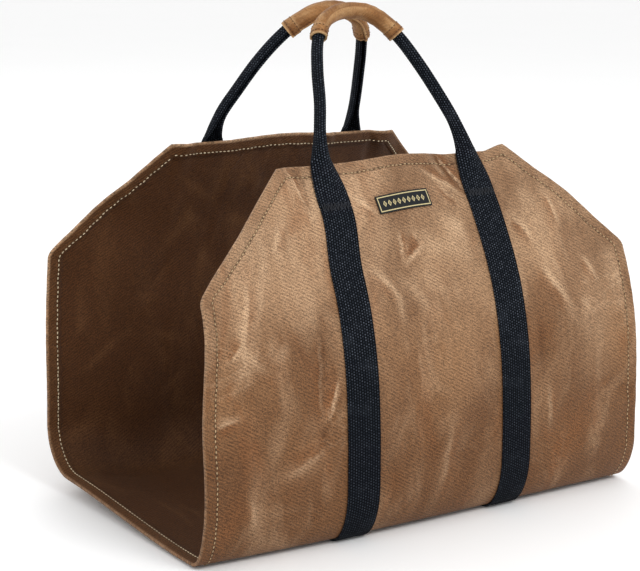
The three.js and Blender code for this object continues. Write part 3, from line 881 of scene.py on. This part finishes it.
def rgba(value, gain=1.0):
    return (*[channel * gain for channel in value], 1.0)


def surface(name, **constants):
    """A new material and its graph, with the sockets that are the same all over."""
    material = bpy.data.materials.new(name)
    material.use_nodes = True
    shader = material.node_tree.nodes["Principled BSDF"]
    for key, value in constants.items():
        shader.inputs[key.replace("_", " ").title().replace("Ior", "IOR")].default_value = value
    return material, Graph(material.node_tree)


def dress(material, g, tone, roughness, normal=None):
    """Links what varies over a material: its colour, its roughness and its normal."""
    shader = material.node_tree.nodes["Principled BSDF"]
    g.send(tone, shader.inputs["Base Color"])
    g.send(roughness, shader.inputs["Roughness"])
    if normal:
        g.send(normal, shader.inputs["Normal"])
    return material


def cracks(g, flat):
    """All the cracked lines of the front panel, and every other one again on the back one, with the painted
    shade beside each.
    """
    length = HangingSheet(bpy.context.scene.carrier_sizes).length
    line, crack_shadow = 0.0, 0.0
    rows = table_rows(CRACKS, "side")
    for row in rows + [{**row, "x": -0.8 * row["x"], "along": length - row["along"]} for row in rows[::2]]:
        drawn, deep = g.group(
            wax_crack, ("Line", "Shadow"), flat, x=row["x"], along=row["along"],
            cosine=math.cos(row["turn"]) * row["side"], sine=math.sin(row["turn"]) * row["side"],
            length=row["length"] / 2, width=row["width"],
        )
        line = (drawn * row["pale"]).at_least(line)
        # deep is the painted shade beside this crack.
        crack_shadow = (deep * row["pale"]).at_least(crack_shadow)
    return line, crack_shadow


def canvas_material(name, deep, middle, pale, rust, inside=None, grain=0.58, wear_size=1.0):
    """Waxed canvas: woven, paler in its folds, darker low down and paler near the top (partly wear, partly
    painted light and shade), with painted shade on its inside face, beside its cracks and in the pressed
    seam by its edges.
    """
    material, g = surface(name, sheen_weight=0.02, sheen_roughness=0.5, specular_ior_level=0.16)
    flat, edge, low = g.attribute("flat", "Vector"), g.attribute("edge"), g.attribute("low")
    cracked, crack_shadow = cracks(g, flat) if inside else (0.0, 0.0)
    # Painted shade beside the cracks also deepens the wax colour there.
    folds = g.attribute("pale") - crack_shadow * 0.45
    worn, deep_wax_and_shade, rusty = g.group(wax_wear, ("Pale", "Deep and shade", "Rust"), flat, folds=folds, size=wear_size)
    height, thread = g.group(
        canvas_weave, ("Height", "Tone"), flat, pitch=WEAVE_PITCH, rib_pitch=RIB_PITCH,
    )
    # Darker towards the bottom and paler near the top edges: partly wear, partly painted light and shade.
    tone = g.mix(g.step(low, 0.50, 1.0, 0.0, 0.74), rgba(middle), rgba(deep))
    tone = g.mix(g.step(low, 0.62, 0.0, 0.0, 0.46), tone, rgba(pale))
    tone = g.mix(rusty * 0.55, tone, rgba(rust))
    # Deep wax, and painted shade in sunken folds and beside the cracks.
    tone = g.mix(deep_wax_and_shade, tone, rgba(deep))
    # Painted shade beside the cracks, in the rust colour.
    tone = g.mix(crack_shadow * 0.6, tone, rgba(rust))
    # Pale wear and cracks fade lower down: partly wear, partly painted shade.
    tone = g.mix(worn * g.step(low, 0.2, 1.0, 1.0, 0.42), tone, rgba(pale))
    tone = g.mix(cracked * g.step(low, 0.3, 1.0, 1.0, 0.6), tone, rgba(pale, 1.12))
    tone = g.mix(g.step(edge, 0.0020, 0.0002) * 0.5 * g.noise(flat, 260, 2), tone, rgba(pale))
    hem = g.step(edge, SEAM_INSET + 0.0019, SEAM_INSET + 0.0009)
    tone = g.mix(hem * 0.22, tone, rgba(deep, 0.9))
    # Dark line along the seam: painted shade in its pressed groove and stitch holes.
    seam = g.step(abs(edge - SEAM_INSET), 0.0013, 0.0005)
    holes = g.step(g.noise(flat, 420, 1), 0.42, 0.56, 0.45, 1.0)
    tone = g.mix(seam * holes * 0.72, tone, rgba(deep, 0.30))
    light = g.step(thread, 0.05, 0.95, 1.0 - grain, 1.0 + grain)
    shade = g.scaled(tone, light)
    if inside:
        # Inner face: painted shade, paler where rubbed and on the hem, with a darker painted groove along
        # the seam.
        shaded_inside_tone = g.mix(worn * 0.8, rgba(inside[0]), rgba(inside[1]))
        shaded_inside_tone = g.mix(seam * 0.8, shaded_inside_tone, rgba(inside[0], 0.25))
        shaded_inside_tone = g.mix(hem * 0.35, shaded_inside_tone, rgba(inside[1]))
        outside = g.attribute("side").at_least(g.step(edge, 0.0026, 0.0010))
        shade = g.mix(outside, g.scaled(shaded_inside_tone, light), shade)
    crumple = g.bump(g.noise(flat, 75, 4, 0.55) + cracked * 0.5, 0.0016, 0.4)
    return dress(material, g, shade, worn * 0.14 + 0.58, g.bump(height, 0.00045, 0.6, Normal=crumple))


def webbing_material(colours):
    """Black webbing with staggered raised threads, painted shade between them and painted highlights on
    their tops.
    """
    material, g = surface("Black webbing", specular_ior_level=0.06)
    flat = g.attribute("flat", "Vector")
    column = bpy.context.scene.carrier_sizes.webbing_width / WEB_NUBS
    height, glint = g.group(webbing_nubs, ("Height", "Glint"), flat, column=column, pitch=WEB_PITCH)
    # Painted shade in the dips between the raised threads, and lighter tops.
    ground = g.mix(g.step(height, 0.2, 1.0), rgba(colours.webbing, 0.25), rgba(colours.webbing, 1.7))
    ground = g.mix(g.step(g.noise(flat, 45, 4), 0.5, 0.8) * 0.05, ground, rgba(colours.glint))
    # Painted light: the highlights are brighter near the top edges, where the light falls.
    top_light = g.step(g.attribute("low"), 0.1, 1.0, 0.8, 0.34)
    tone = g.mix(glint * top_light, ground, rgba(colours.glint))
    return dress(material, g, tone, g.step(glint, 0.0, 1.0, 0.78, 0.50), g.bump(height, 0.0005, 0.6))


def thread_material(name, tint):
    """Waxed sewing thread: two plies twisted together."""
    material, g = surface(name, specular_ior_level=0.25)
    where = g.object_place()
    fibre = g.noise(where, 1400, 2)
    tone = g.mix(g.step(fibre, 0.3, 0.7), rgba(tint, 0.55), rgba(tint, 1.25))
    tone = g.mix(g.step(g.noise(where, 60, 2), 0.45, 0.7), tone, rgba(tint, 0.6))
    return dress(material, g, tone, g.step(fibre, 0.2, 0.8, 0.5, 0.75), g.bump(fibre, 0.0002, 0.5))


def label_material(colours, sizes):
    """Woven label: a plain border round a row of small diamonds."""
    material, g = surface("Woven label", specular_ior_level=0.12)
    flat = g.attribute("flat", "Vector")
    x, up = g.axes(flat)
    aside, above = abs(x), abs(up)
    inset = (sizes.label_width / 2 - aside).at_most(sizes.label_height / 2 - above)
    border = g.step(abs(inset - 0.0017), 0.00055, 0.0003)
    cell = abs((x / (sizes.label_width / 11) + 0.5).fraction() - 0.5)
    reach = above / 0.0030 + cell * 2.5
    ring = g.step(abs(reach - 0.72), 0.24, 0.14)
    motif = ring.at_least(g.step(reach, 0.30, 0.18)) * g.step(aside, 0.0236, 0.0234)
    drawn = border.at_least(motif)
    rib = (up * (math.tau / 0.0005)).sine()
    weft = (x * (math.tau / 0.00042)).sine()
    thread = rib * weft * 0.25 + 0.5
    line = g.mix(g.noise(flat, 700, 3), rgba(colours.label_line, 0.55), rgba(colours.label_line, 1.25))
    ground = g.mix(thread, rgba(colours.label, 0.6), rgba(colours.label, 2.0))
    raised = g.bump(thread * 0.4 + drawn, 0.00015, 0.8)
    return dress(material, g, g.mix(drawn, ground, line), g.step(thread, 0.2, 0.8, 0.7, 0.5), raised)


def floor_material(colours):
    """Plain pale floor."""
    material, g = surface("Pale floor")
    where = g.object_place()
    tone = g.mix(g.noise(where, 3, 3), rgba(colours.floor, 0.985), rgba(colours.floor))
    return dress(material, g, tone, g.step(g.noise(where, 90, 3), 0, 1, 0.6, 0.7))


def shared_material(name, make, *given):
    return bpy.data.materials.get(name) or make(*given)


# Stitches

def add_stitches(mesh, middles, ways, ups, long, wide, tall):
    """One small rounded stitch at each point, lying along its way."""
    size = Matrix.Diagonal((long / 2, wide / 2, tall / 2, 1)) @ Matrix.Rotation(math.pi / 2, 4, "Y")
    for middle, way, up in zip(middles, ways, ups):
        side = np.cross(up, way)
        turn = Matrix([[way[k], side[k], up[k], middle[k]] for k in range(3)] + [[0, 0, 0, 1]])
        bmesh.ops.create_uvsphere(mesh, u_segments=6, v_segments=5, radius=1.0, matrix=turn @ size)


def walk(line, spacing, *others):
    """Even steps along a line of points: the points, the direction at each, and other values there."""
    reach = travel(line)
    count = max(2, int(round(reach[-1] / spacing)))
    at = (np.arange(count) + 0.5) * reach[-1] / count
    ways = unit(on_line(at, reach, np.gradient(line, axis=0)))
    return on_line(at, reach, line), ways, *[on_line(at, reach, values) for values in others]


def hem_lines(sheet, inset):
    """The stitch line round the sheet, as runs of x and along."""
    along = np.linspace(inset, sheet.length - inset, 1200)
    x = sheet.half_width(along) - inset * sheet.slant(along)
    top = np.linspace(-x[0], x[0], 120)
    return [
        np.stack([x, along], axis=1),
        np.stack([-x, along], axis=1),
        np.stack([top, np.full_like(top, inset)], axis=1),
        np.stack([top, np.full_like(top, sheet.length - inset)], axis=1),
    ]


def given(context):
    """What each step starts from."""
    sizes = context.scene.carrier_sizes
    return sizes, context.scene.carrier_colours, HangingSheet(sizes)


class CARRIER_OT_canvas(bpy.types.Operator):
    """Makes the waxed canvas sheet, with its turned hems"""

    bl_idname = "carrier.canvas"
    bl_label = "Canvas sheet"

    def execute(self, context):
        sizes, colours, sheet = given(context)
        hem_rows = [*np.linspace(0, sizes.hem, HEM_STEPS), sizes.hem + HEM_STEP]
        open_rows = np.linspace(hem_rows[-1], sheet.length - hem_rows[-1], SHEET_ROWS)[1:-1]
        rows = np.array([*hem_rows, *open_rows, *[sheet.length - row for row in reversed(hem_rows)]])
        edge = sheet.half_width(rows)
        slant = sheet.slant(rows)
        hem_columns = [edge - inset * slant for inset in hem_rows[:HEM_STEPS]]
        inner = edge - sizes.hem * slant - HEM_STEP
        open_columns = [inner * share for share in np.linspace(-1, 1, SHEET_COLUMNS)]
        table = np.stack([*[-x for x in hem_columns], *open_columns, *reversed(hem_columns)], axis=1)
        mesh, column, row, side = grid_shell(table.shape[1], len(rows))
        x, along = table[row, column], rows[row]
        hemmed = np.minimum(column, table.shape[1] - 1 - column) < HEM_STEPS
        hemmed = hemmed | (np.minimum(row, len(rows) - 1 - row) < HEM_STEPS)
        relief, pale = sheet.relief(x, along)
        layers = np.where(hemmed, 2, 1)
        place_vertices(mesh, sheet.off(x, along, relief - (1 - side) * layers * sizes.canvas))
        set_layer(mesh, "flat", np.stack([x, along, 0 * x], axis=1))
        set_layer(mesh, "side", side)
        # pale: paler creases, and negative where a sunken fold is painted in shade.
        set_layer(mesh, "pale", pale)
        set_layer(mesh, "edge", sheet.edge_distance(x, along))
        # low: how far below a top edge; the canvas is painted paler near the top and darker low down, partly
        # light and shade.
        set_layer(mesh, "low", smooth(0.04, 0.30, sheet.from_edge(along)))
        round_rim(mesh, 0.0008)
        material = canvas_material(
            "Waxed canvas", colours.canvas_deep, colours.canvas_mid, colours.canvas_pale,
            colours.canvas_rust, (colours.shaded_inside_deep, colours.shaded_inside_pale),
        )
        piece = finish_piece("waxed_canvas_sheet", mesh, material, ["canvas_body"])
        return {"FINISHED"}


class CARRIER_OT_straps(bpy.types.Operator):
    """Makes the two flat webbing straps under the canvas"""

    bl_idname = "carrier.straps"
    bl_label = "Webbing straps"

    def execute(self, context):
        sizes, colours, sheet = given(context)
        material = shared_material("Black webbing", webbing_material, colours)
        rows = np.arange(sizes.tack_depth, sheet.length - sizes.tack_depth, WEB_PITCH / 4)
        for name, sign in (("left", -1), ("right", 1)):
            mesh, column, row, side = grid_shell(WEB_COLUMNS, len(rows))
            along = rows[row]
            across = band_across(column, along, sizes.webbing_width)
            x = sign * sheet.strap_line(along) + across
            height = sheet.band_middle + (side - 0.5) * sizes.webbing
            height = height - side * WEB_RELIEF * (1 - nub_height(column, along))
            place_vertices(mesh, sheet.off(x, along, height))
            set_layer(mesh, "flat", np.stack([across, along, 0 * x], axis=1))
            # low brightens the painted highlights near the top edges.
            set_layer(mesh, "low", smooth(0.08, 0.26, sheet.from_edge(along)))
            round_rim(mesh, 0.0005)
            finish_piece(f"{name}_webbing_strap", mesh, material, [f"{name}_strap"])
        return {"FINISHED"}


class CARRIER_OT_handles(bpy.types.Operator):
    """Makes the two handles, whose webbing rolls up as it leaves the panels"""

    bl_idname = "carrier.handles"
    bl_label = "Handles"

    def execute(self, context):
        sizes, colours, sheet = given(context)
        material = shared_material("Black webbing", webbing_material, colours)
        for name, face in (("front", -1), ("back", 1)):
            line = HandleLine(sheet, face, WEB_PITCH / 4)
            mesh, column, row, side = grid_shell(WEB_COLUMNS, len(line.ridge))
            along = line.travelled[row]
            across = band_across(column, along, sizes.webbing_width)
            sideways, back, facing = rolled_section(across, line.roll[row], sizes.webbing_width)
            height = (side - 0.5) * sizes.webbing - side * WEB_RELIEF * (1 - nub_height(column, along))
            sideways, back = sideways + height * np.sin(facing), back - height * np.cos(facing)
            place_vertices(mesh, line.point(row, sideways, back))
            set_layer(mesh, "flat", np.stack([across, along, 0 * across], axis=1))
            round_rim(mesh, 0.0005)
            finish_piece(f"{name}_webbing_handle", mesh, material, [f"{name}_handle"])
        return {"FINISHED"}


def grip_outline(sizes, side, count):
    """One side of a grip's wall, seen along the handle: sideways and back of evenly spread points."""
    width = sizes.webbing_width
    widest = max(rolled_section(np.array(share * width / 2), 1.0, width)[0] for share in (0.25, 0.5, 0.75))
    half = float(widest) + sizes.webbing / 2 + SLIDE_GAP
    depth = float(roll_depth(1.0, width)) + sizes.webbing / 2 + SLIDE_GAP
    front = -sizes.webbing / 2 - SLIDE_GAP
    wall = sizes.grip_wall * side
    right = [
        (0, front - wall),
        (0.42 * half + wall * 0.3, front + 0.04 * depth - wall * 0.95),
        (0.72 * half + wall * 0.6, front + 0.14 * depth - wall * 0.8),
        (half + wall, 0.4 * depth + front),
        (half + wall, 0.72 * depth),
        (0.66 * half + wall * 0.6, depth + wall * 0.7),
        (0.3 * half + wall * 0.4, depth + wall * 0.9),
    ]
    if side:
        right += [(sizes.grip_wall, depth + wall), (sizes.grip_wall, depth + wall + GRIP_FLANGE)]
    points = [*right, *[(-x, back) for x, back in reversed(right[1:])]]
    return even_ring(np.array([*points, points[0]]), count)


def even_ring(closed, count):
    """Points at even distances round a closed line, eased through its corners."""
    reach = travel(closed)
    ring = on_line(np.linspace(0, reach[-1], 8 * count, endpoint=False), reach, closed)
    for _ in range(60):
        ring = (np.roll(ring, 1, axis=0) + 2 * ring + np.roll(ring, -1, axis=0)) / 4
    return ring[::8]


class CARRIER_OT_grips(bpy.types.Operator):
    """Makes the canvas grips, sewn round the crown of each handle"""

    bl_idname = "carrier.grips"
    bl_label = "Grips"

    def execute(self, context):
        sizes, colours, sheet = given(context)
        material = canvas_material(
            "Grip canvas", colours.grip_deep, colours.grip_mid, colours.grip_pale, colours.grip_deep,
            grain=0.2, wear_size=3.0,
        )
        thread = shared_material("Grip thread", thread_material, "Grip thread", colours.grip_thread)
        outlines = [grip_outline(sizes, side, GRIP_RING) for side in (0, 1)]
        for name, face, shift in (("front", -1, FRONT_GRIP_SHIFT), ("back", 1, BACK_GRIP_SHIFT)):
            line = HandleLine(sheet, face, 0.0012)
            crest = line.travelled[int(np.argmax(line.ridge[:, 2]))]
            start = crest + (shift - 0.5) * sizes.grip_length
            distance = start + np.linspace(0, 1, GRIP_ROWS) * sizes.grip_length
            ridge, sideways, outward = line.at(distance)
            mesh, column, row, side = tube_shell(GRIP_RING, GRIP_ROWS)
            section = np.where(side[:, None] > 0, outlines[1][column], outlines[0][column])
            from_end = np.minimum(row, GRIP_ROWS - 1 - row) / (GRIP_ROWS - 1) * sizes.grip_length
            turned = smooth(0.0098, 0.0085, from_end) * 0.00045
            phase = column / GRIP_RING * math.tau
            ripple = np.sin(distance[row] * 520 + 2.2 * np.sin(distance[row] * 140 + face))
            ripple = ripple * np.cos(phase) * 0.00018
            swell = (turned + ripple) * side
            middle = np.array([0.0, float(np.mean(outlines[0][:, 1]))])
            section = section + unit(section - middle) * swell[:, None]
            points = ridge[row] + sideways[row] * section[:, :1] - outward[row] * section[:, 1:]
            place_vertices(mesh, points)
            around = column / GRIP_RING * 0.05
            set_layer(mesh, "flat", np.stack([around, distance[row] + 0.3 * face, 0 * around], axis=1))
            set_layer(mesh, "side", side)
            tip = int(np.argmax(outlines[1][:, 1]))
            from_tip = np.abs((column - tip + GRIP_RING / 2) % GRIP_RING - GRIP_RING / 2)
            raw = 1.1 * np.exp(-((from_end / 0.0011) ** 2)) + 0.8 * np.exp(-((from_tip / 0.9) ** 2))
            turned_edge = 0.35 * np.exp(-(((from_end - 0.0096) / 0.0012) ** 2))
            beside_seam = 0.8 * np.exp(-(((from_tip - 4) / 1.1) ** 2))
            beside_ring = 0.5 * np.exp(-(((from_end - 0.0032) / 0.0009) ** 2))
            set_layer(mesh, "pale", raw + turned_edge - beside_seam - beside_ring)
            set_layer(mesh, "edge", 0.02 + from_end)
            set_layer(mesh, "low", np.full(len(row), 0.5))
            round_rim(mesh, 0.0004)
            piece = finish_piece(f"{name}_canvas_grip", mesh, material, [f"{name}_grip"])
            outer = np.zeros((GRIP_ROWS, GRIP_RING, 3))
            outer[row[side > 0], column[side > 0]] = points[side > 0]
            self.seams(name, outer, tip, sizes, thread)
        return {"FINISHED"}

    def seams(self, name, outer, tip, sizes, thread):
        """A row of stitches down each side of the folded seam, and two round each end."""
        rows, ring = outer.shape[:2]
        facing = unit(outer - outer.mean(axis=1, keepdims=True))
        lengthwise = np.gradient(outer, axis=0)
        around = np.roll(outer, -1, axis=1) - np.roll(outer, 1, axis=1)
        normal = unit(np.cross(lengthwise, around))
        normal = normal * np.sign(np.sum(normal * facing, axis=2, keepdims=True))
        mesh = bmesh.new()
        lines = [(outer[4:-4, (tip + k) % ring], normal[4:-4, (tip + k) % ring]) for k in (-3, 3)]
        for from_end in (0.0032, 0.0082):
            step = int(round(from_end / sizes.grip_length * (rows - 1)))
            lines += [(outer[at], normal[at]) for at in (step, rows - 1 - step)]
        for line, ups in lines:
            middles, ways, ups = walk(line, 0.0030, ups)
            ups = unit(ups - ways * np.sum(ups * ways, axis=1, keepdims=True))
            add_stitches(mesh, middles + 0.0001 * ups, ways, ups, 0.0021, 0.0008, 0.0007)
        finish_piece(f"{name}_grip_stitches", mesh, thread)


class CARRIER_OT_label(bpy.types.Operator):
    """Makes the small woven label, with a plain border and a row of diamonds"""

    bl_idname = "carrier.label"
    bl_label = "Woven label"

    def execute(self, context):
        sizes, colours, sheet = given(context)
        mesh, column, row, side = grid_shell(LABEL_COLUMNS, LABEL_ROWS)
        u = (column / (LABEL_COLUMNS - 1) - 0.5) * sizes.label_width
        v = (row / (LABEL_ROWS - 1) - 0.5) * sizes.label_height
        x = LABEL_OFFSET + u * math.cos(LABEL_TURN) + v * math.sin(LABEL_TURN)
        along = LABEL_DROP + v * math.cos(LABEL_TURN) - u * math.sin(LABEL_TURN)
        frill = 0.00012 * np.sin(u * 900) * (np.abs(v) > 0.45 * sizes.label_height)
        place_vertices(mesh, sheet.off(x, along, 2 * SEW_GAP + sizes.label * side + frill))
        set_layer(mesh, "flat", np.stack([u, v, 0 * u], axis=1))
        round_rim(mesh, 0.00025)
        finish_piece("woven_label", mesh, label_material(colours, sizes), ["label"])
        return {"FINISHED"}


class CARRIER_OT_stitching(bpy.types.Operator):
    """Makes the hem stitches and the bar tacks"""

    bl_idname = "carrier.stitching"
    bl_label = "Stitching"

    def execute(self, context):
        sizes, colours, sheet = given(context)
        outer = thread_material("Hem thread", colours.thread)
        self.hems(sheet, sizes, outer, thread_material("Bobbin thread", colours.bobbin))
        self.tacks(sheet, sizes, thread_material("Tack thread", colours.tack))
        return {"FINISHED"}

    def hems(self, sheet, sizes, outer, bobbin):
        runs = [walk(line, sizes.stitch) for line in hem_lines(sheet, SEAM_INSET)]
        points, ahead = (np.concatenate([run[k] for run in runs]) for k in range(2))
        x, along = points[:, 0], points[:, 1]
        relief, _ = sheet.relief(x, along)
        up = sheet.normal(x, along)
        way = sheet.face(x + 0.001 * ahead[:, 0], along + 0.001 * ahead[:, 1]) - sheet.face(x, along)
        way = unit(way - up * np.sum(way * up, axis=1, keepdims=True))
        covered = np.abs(np.abs(x) - sheet.tack_x) < sizes.webbing_width / 2 + 0.001
        covered = covered & (sheet.from_edge(along) < sizes.tack_depth)
        long, wide, proud = 0.62 * sizes.stitch, sizes.thread, 0.00012
        sides = (("outer", 1, proud, outer), ("inner", -1, -2 * sizes.canvas - proud, bobbin))
        for name, facing, lift, thread in sides:
            keep = ~covered if facing > 0 else np.full(len(x), True)
            middle = sheet.off(x, along, relief + lift)[keep]
            mesh = bmesh.new()
            add_stitches(mesh, middle, way[keep], facing * up[keep], long, wide, 0.8 * wide)
            finish_piece(f"{name}_hem_stitches", mesh, thread)

    def tacks(self, sheet, sizes, black):
        mesh = bmesh.new()
        for front in (True, False):
            for sign in (-1, 1):
                across = np.linspace(-0.43, 0.43, TACK_STITCHES) * sizes.webbing_width
                x = sign * sheet.tack_x + across
                from_edge = np.full(TACK_STITCHES, sizes.tack_depth - SEW_GAP / 2)
                along = from_edge if front else sheet.length - from_edge
                up = sheet.normal(x, along)
                lean = 0.0007 * (-1) ** np.arange(TACK_STITCHES)
                way = unit(sheet.face(x + lean, along + 0.004) - sheet.face(x - lean, along - 0.004))
                middle = sheet.off(x, along, SEW_GAP + sizes.webbing + 0.0001)
                add_stitches(mesh, middle, way, up, 0.0085, 0.0013, 0.0009)
        finish_piece("bar_tacks", mesh, black)


class CARRIER_OT_stage(bpy.types.Operator):
    """Makes the plain floor, the studio light and the camera"""

    bl_idname = "carrier.stage"
    bl_label = "Stage"

    def execute(self, context):
        scene = context.scene
        mesh = bmesh.new()
        bmesh.ops.create_grid(mesh, x_segments=2, y_segments=2, size=30.0)
        data = bpy.data.meshes.new("floor")
        mesh.to_mesh(data)
        mesh.free()
        data.materials.append(floor_material(scene.carrier_colours))
        floor = bpy.data.objects.new("floor", data)
        scene.collection.objects.link(floor)
        world = bpy.data.worlds.new("Studio")
        world.use_nodes = True
        background = world.node_tree.nodes["Background"]
        background.inputs["Color"].default_value = (1.0, 1.0, 1.0, 1.0)
        background.inputs["Strength"].default_value = 1.04
        scene.world = world
        scene.view_settings.view_transform = "Standard"
        self.light("key", (0.3, -2.3, 2.5), 1.3, 44)
        self.light("fill", (-2.4, 0.6, 2.2), 2.4, 10)
        self.light("rim", (0.6, 2.2, 2.4), 1.6, 12)
        camera = bpy.data.objects.new("camera", bpy.data.cameras.new("camera"))
        scene.collection.objects.link(camera)
        yaw, pitch, roll = (math.radians(angle) for angle in CAMERA_TURN)
        tilt = Matrix.Rotation(math.pi / 2 - pitch, 4, "X") @ Matrix.Rotation(roll, 4, "Z")
        camera.matrix_world = Matrix.Translation(CAMERA_PLACE) @ Matrix.Rotation(yaw, 4, "Z") @ tilt
        camera.data.sensor_width = 36.0
        camera.data.lens = CAMERA_LENS
        camera.data.clip_start, camera.data.clip_end = 0.05, 100.0
        scene.camera = camera
        return {"FINISHED"}

    def light(self, name, place, size, power):
        data = bpy.data.lights.new(name, "AREA")
        data.shape, data.size, data.energy = "DISK", size, power
        lamp = bpy.data.objects.new(name, data)
        bpy.context.scene.collection.objects.link(lamp)
        lamp.location = place
        lamp.rotation_euler = (Vector((0, 0, 0.18)) - Vector(place)).to_track_quat("-Z", "Y").to_euler()


STEPS = ("canvas", "straps", "handles", "grips", "label", "stitching", "stage")


class CARRIER_PT_sidebar(bpy.types.Panel):
    """Lists the carrier's pieces in the sidebar"""

    bl_idname = "CARRIER_PT_sidebar"
    bl_label = "Log carrier"
    bl_space_type = "VIEW_3D"
    bl_region_type = "UI"
    bl_category = "Log carrier"

    def draw(self, context):
        for step in STEPS:
            self.layout.operator(f"carrier.{step}")
        for group in (context.scene.carrier_sizes, context.scene.carrier_colours):
            for key in group.__annotations__:
                self.layout.prop(group, key)


CLASSES = (
    CarrierSizes,
    CarrierColours,
    CARRIER_OT_canvas,
    CARRIER_OT_straps,
    CARRIER_OT_handles,
    CARRIER_OT_grips,
    CARRIER_OT_label,
    CARRIER_OT_stitching,
    CARRIER_OT_stage,
    CARRIER_PT_sidebar,
)


def register():
    for each in CLASSES:
        bpy.utils.register_class(each)
    bpy.types.Scene.carrier_sizes = bpy.props.PointerProperty(type=CarrierSizes)
    bpy.types.Scene.carrier_colours = bpy.props.PointerProperty(type=CarrierColours)


def unregister():
    del bpy.types.Scene.carrier_colours
    del bpy.types.Scene.carrier_sizes
    for each in reversed(CLASSES):
        bpy.utils.unregister_class(each)


def main():
    register()
    for step in STEPS:
        getattr(bpy.ops.carrier, step)()


if __name__ == "__main__":
    main()
